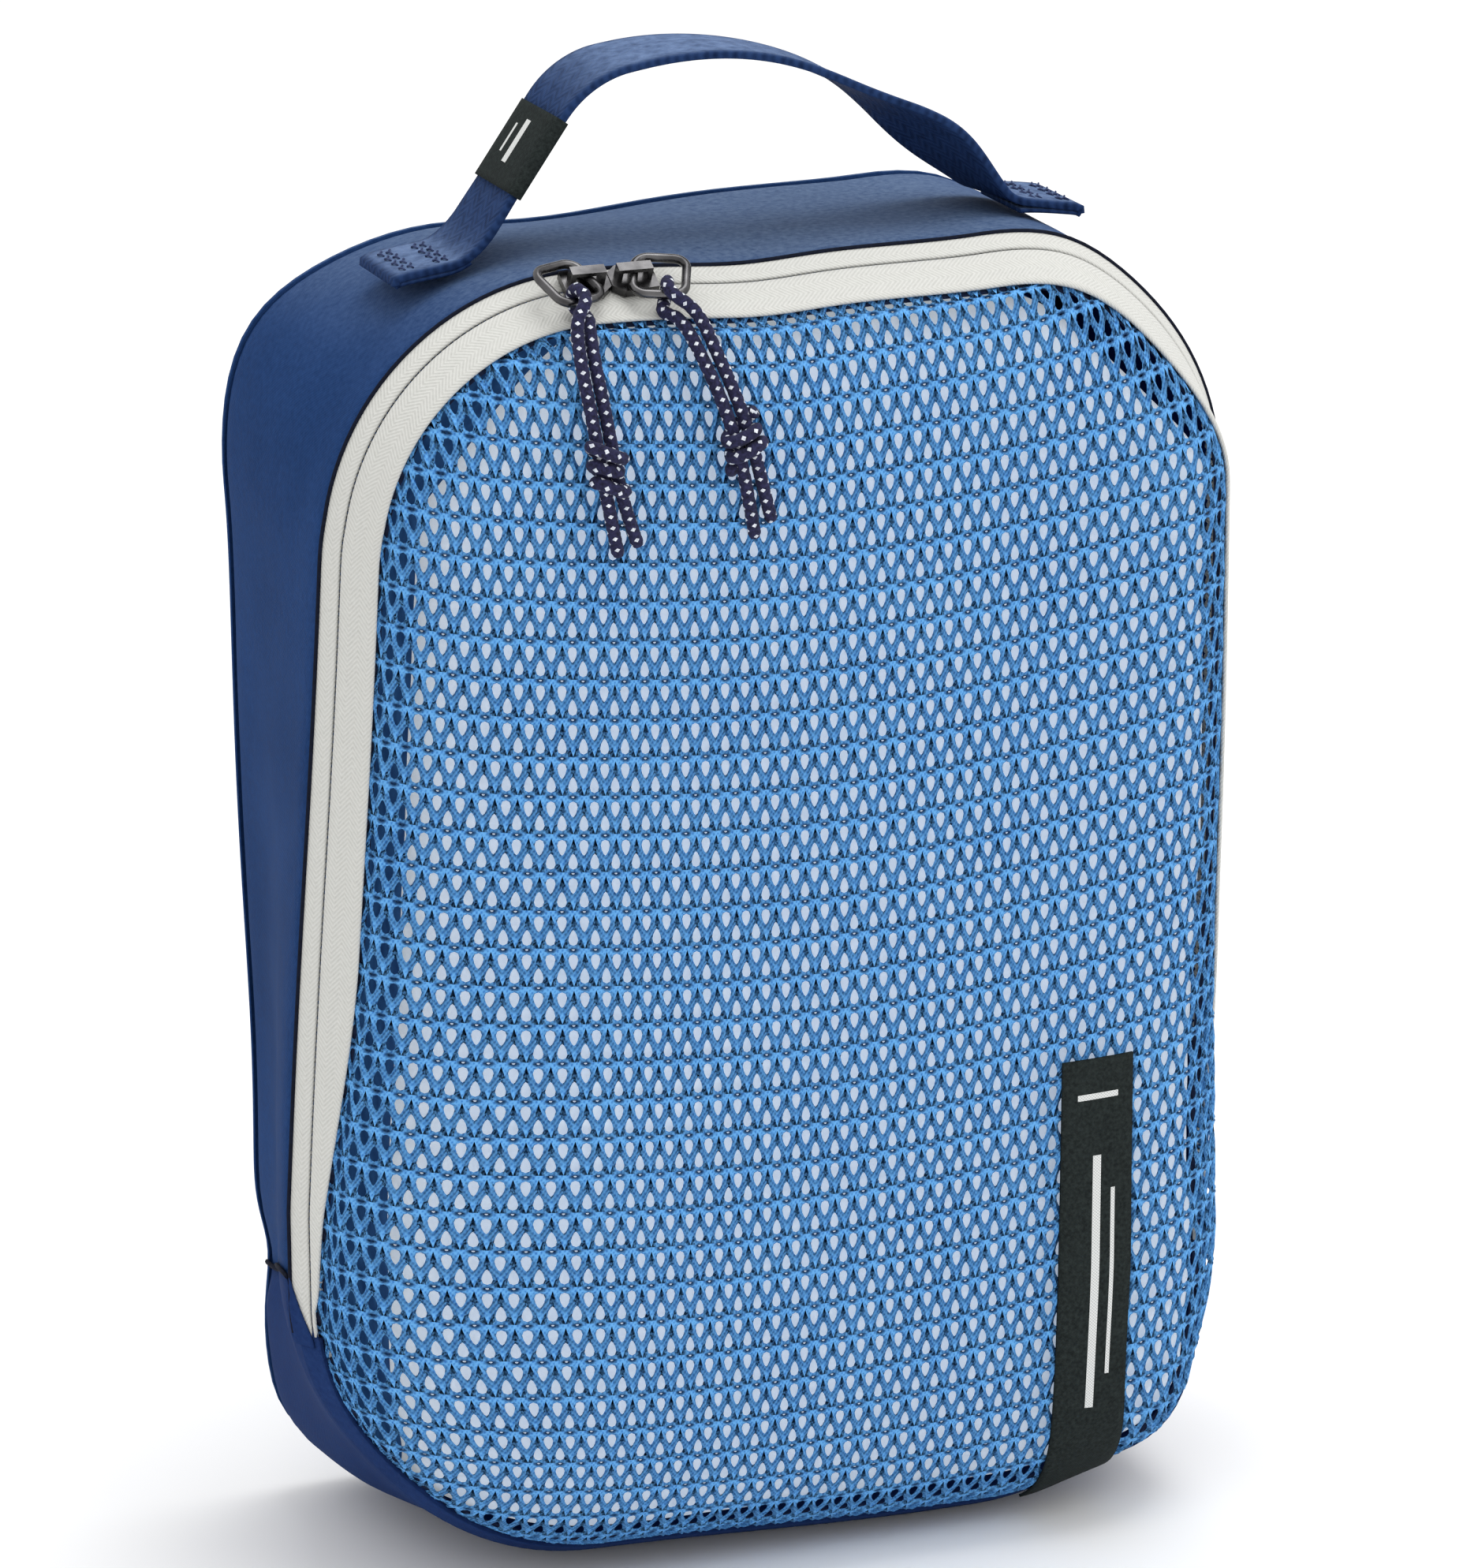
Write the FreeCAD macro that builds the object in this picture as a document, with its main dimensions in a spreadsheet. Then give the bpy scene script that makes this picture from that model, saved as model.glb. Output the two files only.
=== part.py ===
import FreeCAD, Part
import math
import os
import Sketcher

# A small mesh-front packing cube as a parametric assembly, in millimetres.
# Frame: X across the front, Y from front to back, Z up. The origin is the middle of the base.
# The front flap, with its mesh and half of the zipper, swings down about the seam at hinge_height.
SIZES = {
    # the box of cloth
    "width": 178, "height": 254, "corner_radius": 50, "gusset_front": -24, "gusset_back": 36,
    "cloth": 1.2, "hinge_height": 56, "hinge_gap": 0.6,
    # the zipper band, which leans back 60 degrees from the front
    "band_width": 14, "band_inset": 7, "band_reach": 12.124, "tape_start": 0.5, "tape": 0.7,
    "outer_tape_end": 4.6, "inner_tape_start": 5.4, "coil_width": 1.4, "coil_top": -0.75,
    "coil_bottom": -1.9, "binding_width": 3, "binding": 1.0, "binding_drop": 0.05, "stop_height": 4,
    # the mesh front, a shallow dome in three levels
    "rim_y": -36.2, "shoulder_y": -42, "crown_y": -46, "rim_inset": 7, "shoulder_inset": 14,
    "crown_inset": 34, "mesh": 1.0, "mesh_side": 0.8,
    # the label sewn on the mesh
    "label_left": 47, "label_right": 61, "label_bottom": 9, "label_top": 99, "label": 0.6,
    "label_lift": 0.1,
    # the seam bindings inside the gusset
    "seam_width": 4, "seam": 1.1, "seam_clearance": 0.1, "side_seam_front": -22, "side_seam_back": 34,
    # the webbing handle
    "strap_width": 20, "strap": 1.8, "strap_foot": 54, "strap_bottom": 254.4, "arch_top": 290,
    "left_leg": 55, "crest_start": 12, "right_leg": 40, "bend_radius": 20, "handle_axis": 264.4,
    "tab_near": 14, "tab_far": 40, "tab": 1.8,
    "stitch": 0.3, "stitch_margin": 2.5, "stitch_inset": 3, "stitch_width": 1.4, "size_label_length": 17,
    "size_label": 0.6, "size_label_gap": 0.15, "size_label_start": 13,
    # the sliders, in the band's own frame: along X, up the slope, and out of the band
    "slider_line": 5, "slider_half_length": 4.4, "head_half_width": 3.6, "tail_half_width": 2.9,
    "plate_bottom": 0.3, "plate": 1.5, "keel_half_length": 3.0, "keel_half_width": 0.2,
    "foot_top": -2.6, "foot_bottom": -3.3, "foot_reach": 4.2, "bridge_half_length": 3.3,
    "bridge_half_width": 1.1, "bridge_top": 4.6, "bridge_leg": 0.9, "bridge_roof": 0.8,
    "left_slider_x": -39.5, "right_slider_x": -30.5,
    # the wire rings and the cords
    "ring_wire": 1.7, "ring_length": 9.6, "ring_width": 11.8, "ring_corner": 2.6, "ring_sink": 0.6,
    "ring_pin": 2.85, "ring_raise": 8, "ring_swing": 20, "cord": 2.4, "cord_gap": 0.15,
    "fold_along": 6.2, "over_drift": 0.4, "over_lift": 0.3, "under_drift": 1.0, "under_reach": 0.4,
    "under_lift": 0.1, "knot_half_width": 4.2, "knot_half_depth": 3.3, "knot_half_height": 5.2,
}
CORNER_SHARE = 0.45       # how much of a run a bend may use, with another bend at its other end
END_SHARE = 0.95          # how much of the first run a bend may use
TOUCHING = 1e-6           # points nearer than this are one point
BAND_TILT = 30            # the band's slope, in degrees up from the horizontal, at the top run
SHOULDER_SHARE = 0.55     # where the slider's widest part lies between its middle and its head
LEFT = -1
RIGHT = 1

document = FreeCAD.newDocument("packing_cube")
sheet = document.addObject("Spreadsheet::Sheet", "Sizes")
for row, (alias, value) in enumerate(SIZES.items(), start=1):
    sheet.set("A%d" % row, alias)
    sheet.set("B%d" % row, str(value))
    sheet.setAlias("B%d" % row, alias)
document.recompute()


class Length:
    """A number that also knows the spreadsheet expression it comes from."""

    def __init__(self, value, text):
        self.value = float(value)
        self.text = text

    def combine(self, other, sign, value):
        text = other.text if isinstance(other, Length) else repr(other)
        return Length(value, "(%s %s %s)" % (self.text, sign, text))

    def __add__(self, other):
        return self.combine(other, "+", self.value + number(other))

    def __sub__(self, other):
        return self.combine(other, "-", self.value - number(other))

    def __mul__(self, other):
        return self.combine(other, "*", self.value * number(other))

    def __truediv__(self, other):
        return self.combine(other, "/", self.value / number(other))

    def __neg__(self):
        return Length(-self.value, "(0 - %s)" % self.text)


def number(item):
    return item.value if isinstance(item, Length) else float(item)


def size(alias):
    return Length(SIZES[alias], "Sizes.%s" % alias)


def bind(thing, path, length):
    thing.setExpression(path, length.text if isinstance(length, Length) else repr(length))


half_width = size("width") / 2
height = size("height")
radius = size("corner_radius")
zero = size("width") * 0
corner_x = half_width - radius
corner_z = height - radius
hinge_above = size("hinge_height") + size("hinge_gap") / 2
hinge_below = size("hinge_height") - size("hinge_gap") / 2
sub_parts = []


def new_body(label):
    body = document.addObject("PartDesign::Body", label)
    body.Label = label
    return body


def keep(thing, label):
    thing.Label = label
    sub_parts.append(thing)
    return thing


def new_sketch(body, name, role, offset=None):
    """A sketch on one of the body's own origin planes, moved along the plane's normal."""
    sketch = body.newObject("Sketcher::SketchObject", body.Label + "_" + name)
    plane = [item for item in body.Origin.OriginFeatures if item.Role == role][0]
    sketch.AttachmentSupport = [(plane, "")]
    sketch.MapMode = "FlatFace"
    if offset is not None:
        sketch.AttachmentOffset = FreeCAD.Placement(FreeCAD.Vector(0, 0, offset.value), FreeCAD.Rotation())
        bind(sketch, "AttachmentOffset.Base.z", offset)
    return sketch


def flat(x, y):
    return FreeCAD.Vector(number(x), number(y), 0)


def pin(sketch, kind, edge, end, place):
    """Hold one coordinate of a point on an edge at a sheet-driven value."""
    index = sketch.addConstraint(Sketcher.Constraint(kind, -1, 1, edge, end, number(place)))
    bind(sketch, "Constraints[%d]" % index, place)


def pin_point(sketch, edge, end, x, y):
    pin(sketch, "DistanceX", edge, end, x)
    pin(sketch, "DistanceY", edge, end, y)


def draw_polygon(sketch, points):
    """A closed outline of straight lines through sheet-driven points."""
    first = sketch.GeometryCount
    count = len(points)
    for index, (x, y) in enumerate(points):
        next_x, next_y = points[(index + 1) % count]
        sketch.addGeometry(Part.LineSegment(flat(x, y), flat(next_x, next_y)))
    for index, (x, y) in enumerate(points):
        edge = first + index
        following = first + (index + 1) % count
        sketch.addConstraint(Sketcher.Constraint("Coincident", edge, 2, following, 1))
        pin_point(sketch, edge, 1, x, y)


def short_arc(centre, begin, end):
    """The short arc between two points, anticlockwise as a sketch keeps its arcs."""
    begin_arm = begin - centre
    end_arm = end - centre
    if begin_arm.cross(end_arm).z < 0:
        begin_arm, end_arm = end_arm, begin_arm
    start_angle = math.atan2(begin_arm.y, begin_arm.x)
    circle = Part.Circle(centre, FreeCAD.Vector(0, 0, 1), begin_arm.Length)
    return Part.ArcOfCircle(circle, start_angle, start_angle + begin_arm.getAngle(end_arm))


def draw_rounded(sketch, steps):
    """Lines and arcs, one after another. A step is ("line", end) or ("arc", centre, end).

    The first step is ("start", point). Points are pairs of lengths.
    """
    spot = steps[0][1]
    first = sketch.GeometryCount
    closed = steps[-1][-1] is steps[0][1]
    for step in steps[1:]:
        end = step[-1]
        if step[0] == "line":
            sketch.addGeometry(Part.LineSegment(flat(*spot), flat(*end)))
        else:
            sketch.addGeometry(short_arc(flat(*step[1]), flat(*spot), flat(*end)))
        spot = end
    spot = steps[0][1]
    last = first + len(steps) - 2
    for edge, step in enumerate(steps[1:], start=first):
        reach = (sketch.getPoint(edge, 1) - flat(*spot)).Length
        begin, finish = (1, 2) if reach < TOUCHING else (2, 1)
        pin_point(sketch, edge, begin, *spot)
        if edge == last and not closed:
            pin_point(sketch, edge, finish, *step[-1])
        if step[0] == "arc":
            # both ends are held already, so one coordinate settles the centre
            pin(sketch, "DistanceX", edge, 3, step[1][0])
        spot = step[-1]
    join_ends(sketch, first, last, closed)


def join_ends(sketch, first, last, closed):
    """Coincident ends where neighbouring edges meet."""
    ends = [(edge, end) for edge in range(first, last + 1) for end in (1, 2)]
    for index, (edge, end) in enumerate(ends):
        place = sketch.getPoint(edge, end)
        for other_edge, other_end in ends[index + 1:]:
            touching = (sketch.getPoint(other_edge, other_end) - place).Length < TOUCHING
            if edge != other_edge and touching:
                sketch.addConstraint(Sketcher.Constraint("Coincident", edge, end, other_edge, other_end))


def upper_route(start_height):
    """Up the left side, over the top and down the right side."""
    left = -half_width
    return [("start", (left, start_height)), ("line", (left, corner_z)),
            ("arc", (-corner_x, corner_z), (-corner_x, height)), ("line", (corner_x, height)),
            ("arc", (corner_x, corner_z), (half_width, corner_z)), ("line", (half_width, start_height))]


def lower_route(start_height):
    """Down the left side, along the base and up the right side."""
    left = -half_width
    return [("start", (left, start_height)), ("line", (left, radius)),
            ("arc", (-corner_x, radius), (-corner_x, zero)), ("line", (corner_x, zero)),
            ("arc", (corner_x, radius), (half_width, radius)), ("line", (half_width, start_height))]


def band_point(along, out):
    """A point of the left side's section: along the band from its outer edge, and out of it."""
    run = size("band_inset") / size("band_width")
    rise = size("band_reach") / size("band_width")
    inset = run * along - rise * out
    return inset - half_width, size("gusset_front") - rise * along - run * out


def swept_strip(label, route, start_height, profile):
    """A strip of constant section along the left side, the top or base, and the right side."""
    body = new_body(label)
    section = new_sketch(body, "section", "XY_Plane", start_height)
    draw_polygon(section, profile)
    path = new_sketch(body, "path", "XZ_Plane")
    draw_rounded(path, route)
    pipe = body.newObject("PartDesign::AdditivePipe", label + "_sweep")
    pipe.Profile = section
    pipe.Spine = (path, ["Edge%d" % (index + 1) for index in range(len(route) - 1)])
    pipe.Mode = "Standard"
    return keep(body, label)


def band_strip(label, near, far, top, bottom):
    """A strip lying in the zipper band, from near to far across it."""
    profile = [band_point(near, top), band_point(far, top), band_point(far, bottom), band_point(near, bottom)]
    return swept_strip(label, upper_route(hinge_above), hinge_above, profile)


def zipper():
    none = zero
    under_tape = -size("tape")
    coil_far = size("outer_tape_end")
    coil_near = coil_far - size("coil_width")
    second = size("inner_tape_start")
    band_strip("outer_zipper_tape", size("tape_start"), coil_far, none, under_tape)
    band_strip("outer_zipper_coil", coil_near, coil_far, size("coil_top"), size("coil_bottom"))
    band_strip("inner_zipper_tape", second, size("band_width"), none, under_tape)
    band_strip("inner_zipper_coil", second, second + size("coil_width"), size("coil_top"),
               size("coil_bottom"))
    binding_top = under_tape - size("binding_drop")
    binding_near = size("band_width") - size("binding_width")
    band_strip("flap_seam_binding", binding_near, size("band_width"), binding_top,
               binding_top - size("binding"))


def gussets():
    left = -half_width
    inner = left + size("cloth")
    front = size("gusset_front")
    back = size("gusset_back")
    seam_height = size("hinge_height")
    swept_strip("upper_gusset", upper_route(seam_height), seam_height,
                [(left, front), (inner, front), (inner, back), (left, back)])
    far = size("band_width")
    thickness = -size("cloth")
    # where the inner face of the wall meets the inner face of the turned-in edge
    bend = (size("cloth") * size("band_width") - size("cloth") * size("band_reach")) / size("band_inset")
    turned = [(left, back), (left, front), band_point(far, zero), band_point(far, thickness),
              band_point(bend, thickness), (inner, back)]
    swept_strip("bottom_gusset", lower_route(seam_height), seam_height, turned)
    binding_top = thickness - size("binding_drop")
    near = far - size("binding_width")
    low = binding_top - size("binding")
    swept_strip("lower_seam_binding", lower_route(seam_height), seam_height,
                [band_point(near, binding_top), band_point(far, binding_top),
                 band_point(far, low), band_point(near, low)])


def full_outline(inset):
    """The whole rounded rectangle, inset from the outside, as route steps."""
    side = half_width - inset
    top = height - inset
    start = (-side, corner_z)
    return [("start", start), ("arc", (-corner_x, corner_z), (-corner_x, top)), ("line", (corner_x, top)),
            ("arc", (corner_x, corner_z), (side, corner_z)), ("line", (side, radius)),
            ("arc", (corner_x, radius), (corner_x, inset)), ("line", (-corner_x, inset)),
            ("arc", (-corner_x, radius), (-side, radius)), ("line", start)]


def padded_outline(label, depth_at, thickness, insets):
    """Rounded rectangles padded towards the front, from their back face at depth_at."""
    body = new_body(label)
    sketch = new_sketch(body, "outline", "XZ_Plane", -depth_at)
    for inset in insets:
        draw_rounded(sketch, full_outline(inset))
    pad = body.newObject("PartDesign::Pad", label + "_pad")
    pad.Profile = sketch
    bind(pad, "Length", thickness)
    return keep(body, label)


def back():
    cloth = size("cloth")
    padded_outline("back_panel", size("gusset_back") + cloth, cloth, [zero])
    near = cloth + size("seam_clearance")
    padded_outline("back_seam_binding", size("gusset_back") - size("seam_clearance"), size("seam"),
                   [near, near + size("seam_width")])


def boxed(name, low, high):
    """A box between two corners given as lengths."""
    box = document.addObject("Part::Box", name)
    for side, begin, end in zip(("Length", "Width", "Height"), low, high):
        bind(box, side, end - begin)
    for axis, begin in zip("xyz", low):
        bind(box, "Placement.Base." + axis, begin)
    return box


def side_pieces():
    """The bound side seams, and the stops that close the zipper's two ends."""
    wall = half_width - size("cloth") - size("seam_clearance")
    for side, label in ((LEFT, "left"), (RIGHT, "right")):
        inner_edge = wall - size("seam")
        low_x, high_x = (-wall, -inner_edge) if side == LEFT else (inner_edge, wall)
        half_seam = size("seam_width") / 2
        seam = boxed(label + "_gusset_seam",
                     (low_x, size("side_seam_front"), size("hinge_height") - half_seam),
                     (high_x, size("side_seam_back"), size("hinge_height") + half_seam))
        keep(seam, label + "_gusset_seam")
        zipper_stop(label + "_zipper_stop", side)


def zipper_stop(label, side):
    """A small block across both coils, behind the bottom gusset's turned-in edge."""
    body = new_body(label)
    sketch = new_sketch(body, "section", "XY_Plane", hinge_below - size("stop_height"))
    top = -size("cloth") - size("binding_drop")
    low = top - size("binding")
    near = size("outer_tape_end") - size("coil_width")
    far = size("inner_tape_start") + size("coil_width")
    corners = [band_point(near, top), band_point(far, top), band_point(far, low), band_point(near, low)]
    if side == RIGHT:
        corners = [(-x, y) for x, y in corners]
    draw_polygon(sketch, corners)
    pad = body.newObject("PartDesign::Pad", label + "_pad")
    pad.Profile = sketch
    bind(pad, "Length", size("stop_height"))
    keep(body, label)


def arch_outline(inset, cut_at, upward):
    """The part of an inset rounded rectangle above or below the height cut_at."""
    side = half_width - inset
    bend_z = corner_z if upward else radius
    far_z = height - inset if upward else inset
    start = (-side, cut_at)
    return [("start", start), ("line", (-side, bend_z)), ("arc", (-corner_x, bend_z), (-corner_x, far_z)),
            ("line", (corner_x, far_z)), ("arc", (corner_x, bend_z), (side, bend_z)),
            ("line", (side, cut_at)), ("line", start)]


def dome(label, upward, lift, thickness, side_wall):
    """A thin domed skin: a loft through three levels, with a loft moved back and inwards cut out."""
    body = new_body(label)
    cut_at = hinge_above if upward else hinge_below
    levels = (("rim", size("rim_inset"), size("rim_y")),
              ("shoulder", size("shoulder_inset"), size("shoulder_y")),
              ("crown", size("crown_inset"), size("crown_y")))
    lofts = (("outer", "PartDesign::AdditiveLoft", zero, -lift),
             ("inner", "PartDesign::SubtractiveLoft", side_wall, thickness - lift))
    for part_name, kind, extra_inset, back_by in lofts:
        sections = []
        for level, inset, depth in levels:
            sketch = new_sketch(body, part_name + "_" + level, "XZ_Plane", -(depth + back_by))
            draw_rounded(sketch, arch_outline(inset + extra_inset, cut_at, upward))
            sections.append(sketch)
        loft = body.newObject(kind, label + "_" + part_name)
        loft.Profile = sections[0]
        loft.Sections = sections[1:]
        loft.Ruled = True
    return body


def front():
    for upward, label in ((True, "mesh_panel_upper"), (False, "mesh_panel_lower")):
        keep(dome(label, upward, zero, size("mesh"), size("mesh_side")), label)
    lift = size("label_lift") + size("label")
    for upward, label in ((True, "front_label_upper"), (False, "front_label_lower")):
        skin = dome(label + "_skin", upward, lift, size("label"), zero)
        low = hinge_above if upward else size("label_bottom")
        high = size("label_top") if upward else hinge_below
        window = boxed(label + "_window", (size("label_left"), size("crown_y") * 2, low),
                       (size("label_right"), size("rim_y"), high))
        cut = document.addObject("Part::Common", label)
        cut.Base = skin
        cut.Tool = window
        keep(cut, label)


def heading(angle):
    return FreeCAD.Vector(math.cos(angle), math.sin(angle), 0)


def handle_geometry():
    """The strap's middle line as (centre, radius, start angle, end angle) of its two arcs, and its feet.

    The left leg rises steeply, a small arc eases it into the wide crest, and the right leg runs down
    less steeply. The crest's radius and the legs' lengths follow from the feet and the top.
    """
    rise, ease, fall = (math.radians(SIZES[name]) for name in ("left_leg", "crest_start", "right_leg"))
    bend = SIZES["bend_radius"]
    top = SIZES["arch_top"] - SIZES["strap"] / 2 - SIZES["strap_bottom"]
    span = SIZES["strap_foot"] * 2
    bend_x = bend * (math.sin(rise) - math.sin(ease))
    bend_z = bend * (math.cos(ease) - math.cos(rise))
    # from the crest down to the right foot, then along the base, then from the left foot up to the crest
    above = 1 - math.cos(ease)
    slope = 1 / math.tan(fall)
    crest_x = math.sin(ease) + math.sin(fall) - above / math.tan(rise) - (1 - math.cos(fall)) * slope
    crest = (span - bend_x - top * slope - (top - bend_z) / math.tan(rise)) / crest_x
    left_run = (top - bend_z - crest * above) / math.sin(rise)
    left_foot = FreeCAD.Vector(-SIZES["strap_foot"], SIZES["strap_bottom"], 0)
    bend_start = left_foot + heading(rise) * left_run
    bend_centre = bend_start - heading(rise + math.pi / 2) * bend
    crest_centre = bend_centre + heading(ease + math.pi / 2) * (bend - crest)
    arcs = [(bend_centre, bend, rise, ease), (crest_centre, crest, ease, -fall)]
    right_foot = FreeCAD.Vector(SIZES["strap_foot"], SIZES["strap_bottom"], 0)
    return left_foot, arcs, right_foot


def strap_side(shift):
    """One face of the strap seen from the side, from left to right, moved off the middle line."""
    left_foot, arcs, right_foot = handle_geometry()
    rise = arcs[0][2]
    fall = arcs[-1][3]
    spot = left_foot + heading(rise + math.pi / 2) * shift
    edges = []
    for centre, radius_here, begin, end in arcs:
        places = [centre + heading(angle + math.pi / 2) * (radius_here + shift)
                  for angle in (begin, (begin + end) / 2, end)]
        if (places[0] - spot).Length > TOUCHING:
            edges.append(Part.LineSegment(spot, places[0]))
        edges.append(Part.Arc(*places))
        spot = places[-1]
    last = right_foot + heading(fall + math.pi / 2) * shift
    edges.append(Part.LineSegment(spot, last))
    return edges


def handle_strap():
    """An arch of webbing, padded across its width, with rounded lower ends about its hinge line."""
    body = new_body("handle_strap")
    sketch = new_sketch(body, "side", "XZ_Plane")
    half = SIZES["strap"] / 2
    outer = strap_side(half)
    inner = strap_side(-half)
    edges = outer + inner
    edges.append(Part.LineSegment(outer[0].StartPoint, inner[0].StartPoint))
    edges.append(Part.LineSegment(outer[-1].EndPoint, inner[-1].EndPoint))
    for index, edge in enumerate(edges):
        sketch.addGeometry(edge)
        sketch.addConstraint(Sketcher.Constraint("Block", index))
    pad = body.newObject("PartDesign::Pad", "handle_strap_pad")
    pad.Profile = sketch
    pad.SideType = "Symmetric"
    bind(pad, "Length", size("strap_width"))
    round_strap_ends(body)
    return keep(body, "handle_strap")


def round_strap_ends(body):
    """Cut each foot to a half disc centred on the hinge line, so it clears the tabs as it turns."""
    cutter = new_sketch(body, "ends", "YZ_Plane")
    half = size("strap_width") / 2
    axis = size("handle_axis")
    wide = half * 2
    below = axis - wide
    steps = [("start", (-wide, axis)), ("line", (-wide, below)), ("line", (wide, below)),
             ("line", (wide, axis)), ("line", (half, axis)), ("arc", (zero, axis), (zero, axis - half)),
             ("arc", (zero, axis), (-half, axis))]
    draw_rounded(cutter, steps + [("line", steps[0][1])])
    pocket = body.newObject("PartDesign::Pocket", "handle_strap_ends")
    pocket.Profile = cutter
    pocket.Type = "ThroughAll"
    pocket.SideType = "Symmetric"


def size_label():
    """A folded label, closed around the left leg of the strap."""
    angle = math.radians(SIZES["left_leg"])
    length = size("size_label_length")
    gap = size("size_label_gap")
    wall = size("size_label")
    half_strap = size("strap") / 2
    half_across = size("strap_width") / 2
    outside = boxed("size_label_outside", (zero, -half_across - gap - wall, -half_strap - gap - wall),
                    (length, half_across + gap + wall, half_strap + gap + wall))
    inside = boxed("size_label_inside", (-length, -half_across - gap, -half_strap - gap),
                   (length * 2, half_across + gap, half_strap + gap))
    sleeve = document.addObject("Part::Cut", "size_label")
    sleeve.Base = outside
    sleeve.Tool = inside
    along = SIZES["size_label_start"]
    place = FreeCAD.Vector(-SIZES["strap_foot"] + along * math.cos(angle), 0,
                           SIZES["strap_bottom"] + along * math.sin(angle))
    sleeve.Placement = FreeCAD.Placement(place, FreeCAD.Rotation(FreeCAD.Vector(0, -1, 0), SIZES["left_leg"]))
    return keep(sleeve, "size_label")


def around_corner(side, distance, angle):
    """A point seen from a top corner's centre: its distance, and its angle outwards from straight up."""
    turn = math.radians(angle.value)
    across = Length(distance.value * math.sin(turn), "(%s * sin(%s))" % (distance.text, angle.text))
    up = Length(distance.value * math.cos(turn), "(%s * cos(%s))" % (distance.text, angle.text))
    middle = corner_x + across
    return (-middle if side == LEFT else middle), corner_z + up


def corner_strip(body, name, side, low, high, near, far, width):
    """A strip that follows the round corner, between two radii and two angles, across the top."""
    centre = (-corner_x if side == LEFT else corner_x, corner_z)
    sketch = new_sketch(body, name, "XZ_Plane")
    start = around_corner(side, low, near)
    draw_rounded(sketch, [("start", start), ("line", around_corner(side, high, near)),
                          ("arc", centre, around_corner(side, high, far)),
                          ("line", around_corner(side, low, far)), ("arc", centre, start)])
    pad = body.newObject("PartDesign::Pad", body.Label + "_" + name + "_pad")
    pad.Profile = sketch
    pad.SideType = "Symmetric"
    bind(pad, "Length", width)


def handle_tabs():
    """The ends of the handle's webbing, sewn flat around the top corners."""
    for side, label in ((LEFT, "left_handle_tab"), (RIGHT, "right_handle_tab")):
        body = new_body(label)
        corner_strip(body, "strip", side, radius, radius + size("tab"), size("tab_near"), size("tab_far"),
                     size("strap_width"))
        keep(body, label)


def handle_stitching():
    """Two rows of stitches across each tab, as one group of raised bars."""
    rows = []
    low = radius + size("tab")
    width = size("strap_width") - size("stitch_margin") * 2
    for side, name in ((LEFT, "left"), (RIGHT, "right")):
        for near in (size("tab_near") + size("stitch_inset"),
                     size("tab_far") - size("stitch_inset") - size("stitch_width")):
            row = new_body("stitch_row_%s_%d" % (name, len(rows)))
            corner_strip(row, "bar", side, low, low + size("stitch"), near,
                         near + size("stitch_width"), width)
            rows.append(row)
    group = document.addObject("Part::Compound", "handle_stitching")
    group.Links = rows
    return keep(group, "handle_stitching")


def on_band(x, along, out):
    """A point over the top run of the band, in the assembly's frame."""
    slope = math.radians(BAND_TILT)
    return FreeCAD.Vector(x, SIZES["gusset_front"] - along * math.cos(slope) - out * math.sin(slope),
                          SIZES["height"] - along * math.sin(slope) + out * math.cos(slope))


def band_placement(x):
    return FreeCAD.Placement(on_band(x, 0, 0), FreeCAD.Rotation(FreeCAD.Vector(1, 0, 0), BAND_TILT))


def slider(label, x, side):
    """One slider: a plate over both tapes, and a keel and foot that hold the inner coil."""
    body = new_body(label + "_slider_body")
    line = -size("slider_line")
    head_x, tail_x = (size("slider_half_length"), -size("slider_half_length"))
    if side == RIGHT:
        head_x, tail_x = tail_x, head_x
    plate_sketch = new_sketch(body, "plate", "XY_Plane", size("plate_bottom"))
    head = size("head_half_width")
    tail = size("tail_half_width")
    nose = head / 2
    shoulder_x = head_x * SHOULDER_SHARE
    draw_polygon(plate_sketch, [(tail_x, line - tail), (shoulder_x, line - head), (head_x, line - nose),
                                (head_x, line + nose), (shoulder_x, line + head), (tail_x, line + tail)])
    plate = body.newObject("PartDesign::Pad", label + "_plate")
    plate.Profile = plate_sketch
    bind(plate, "Length", size("plate"))
    keel_sketch = new_sketch(body, "keel", "YZ_Plane")
    keel_high = line + size("keel_half_width")
    keel_low = line - size("keel_half_width")
    reach = line - size("foot_reach")
    join = size("plate_bottom") + size("plate") / 4
    draw_polygon(keel_sketch, [(keel_high, join), (keel_low, join), (keel_low, size("foot_top")),
                               (reach, size("foot_top")), (reach, size("foot_bottom")),
                               (keel_high, size("foot_bottom"))])
    keel = body.newObject("PartDesign::Pad", label + "_keel")
    keel.Profile = keel_sketch
    keel.SideType = "Symmetric"
    bind(keel, "Length", size("keel_half_length") * 2)
    body.Placement = band_placement(x)
    keep(body, label + "_slider_body")
    slider_bridge(label, x)


def slider_bridge(label, x):
    """The staple-shaped loop on the plate that holds the ring."""
    body = new_body(label + "_slider_bridge")
    line = -size("slider_line")
    half_length = size("bridge_half_length")
    top = size("bridge_top")
    low = size("plate_bottom") + size("plate")
    inner = half_length - size("bridge_leg")
    roof = top - size("bridge_roof")
    sketch = new_sketch(body, "side", "XZ_Plane", -(line + size("bridge_half_width")))
    draw_polygon(sketch, [(-half_length, low), (-inner, low), (-inner, roof), (inner, roof), (inner, low),
                          (half_length, low), (half_length, top), (-half_length, top)])
    pad = body.newObject("PartDesign::Pad", label + "_bridge")
    pad.Profile = sketch
    bind(pad, "Length", size("bridge_half_width") * 2)
    body.Placement = band_placement(x)
    keep(body, label + "_slider_bridge")


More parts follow.
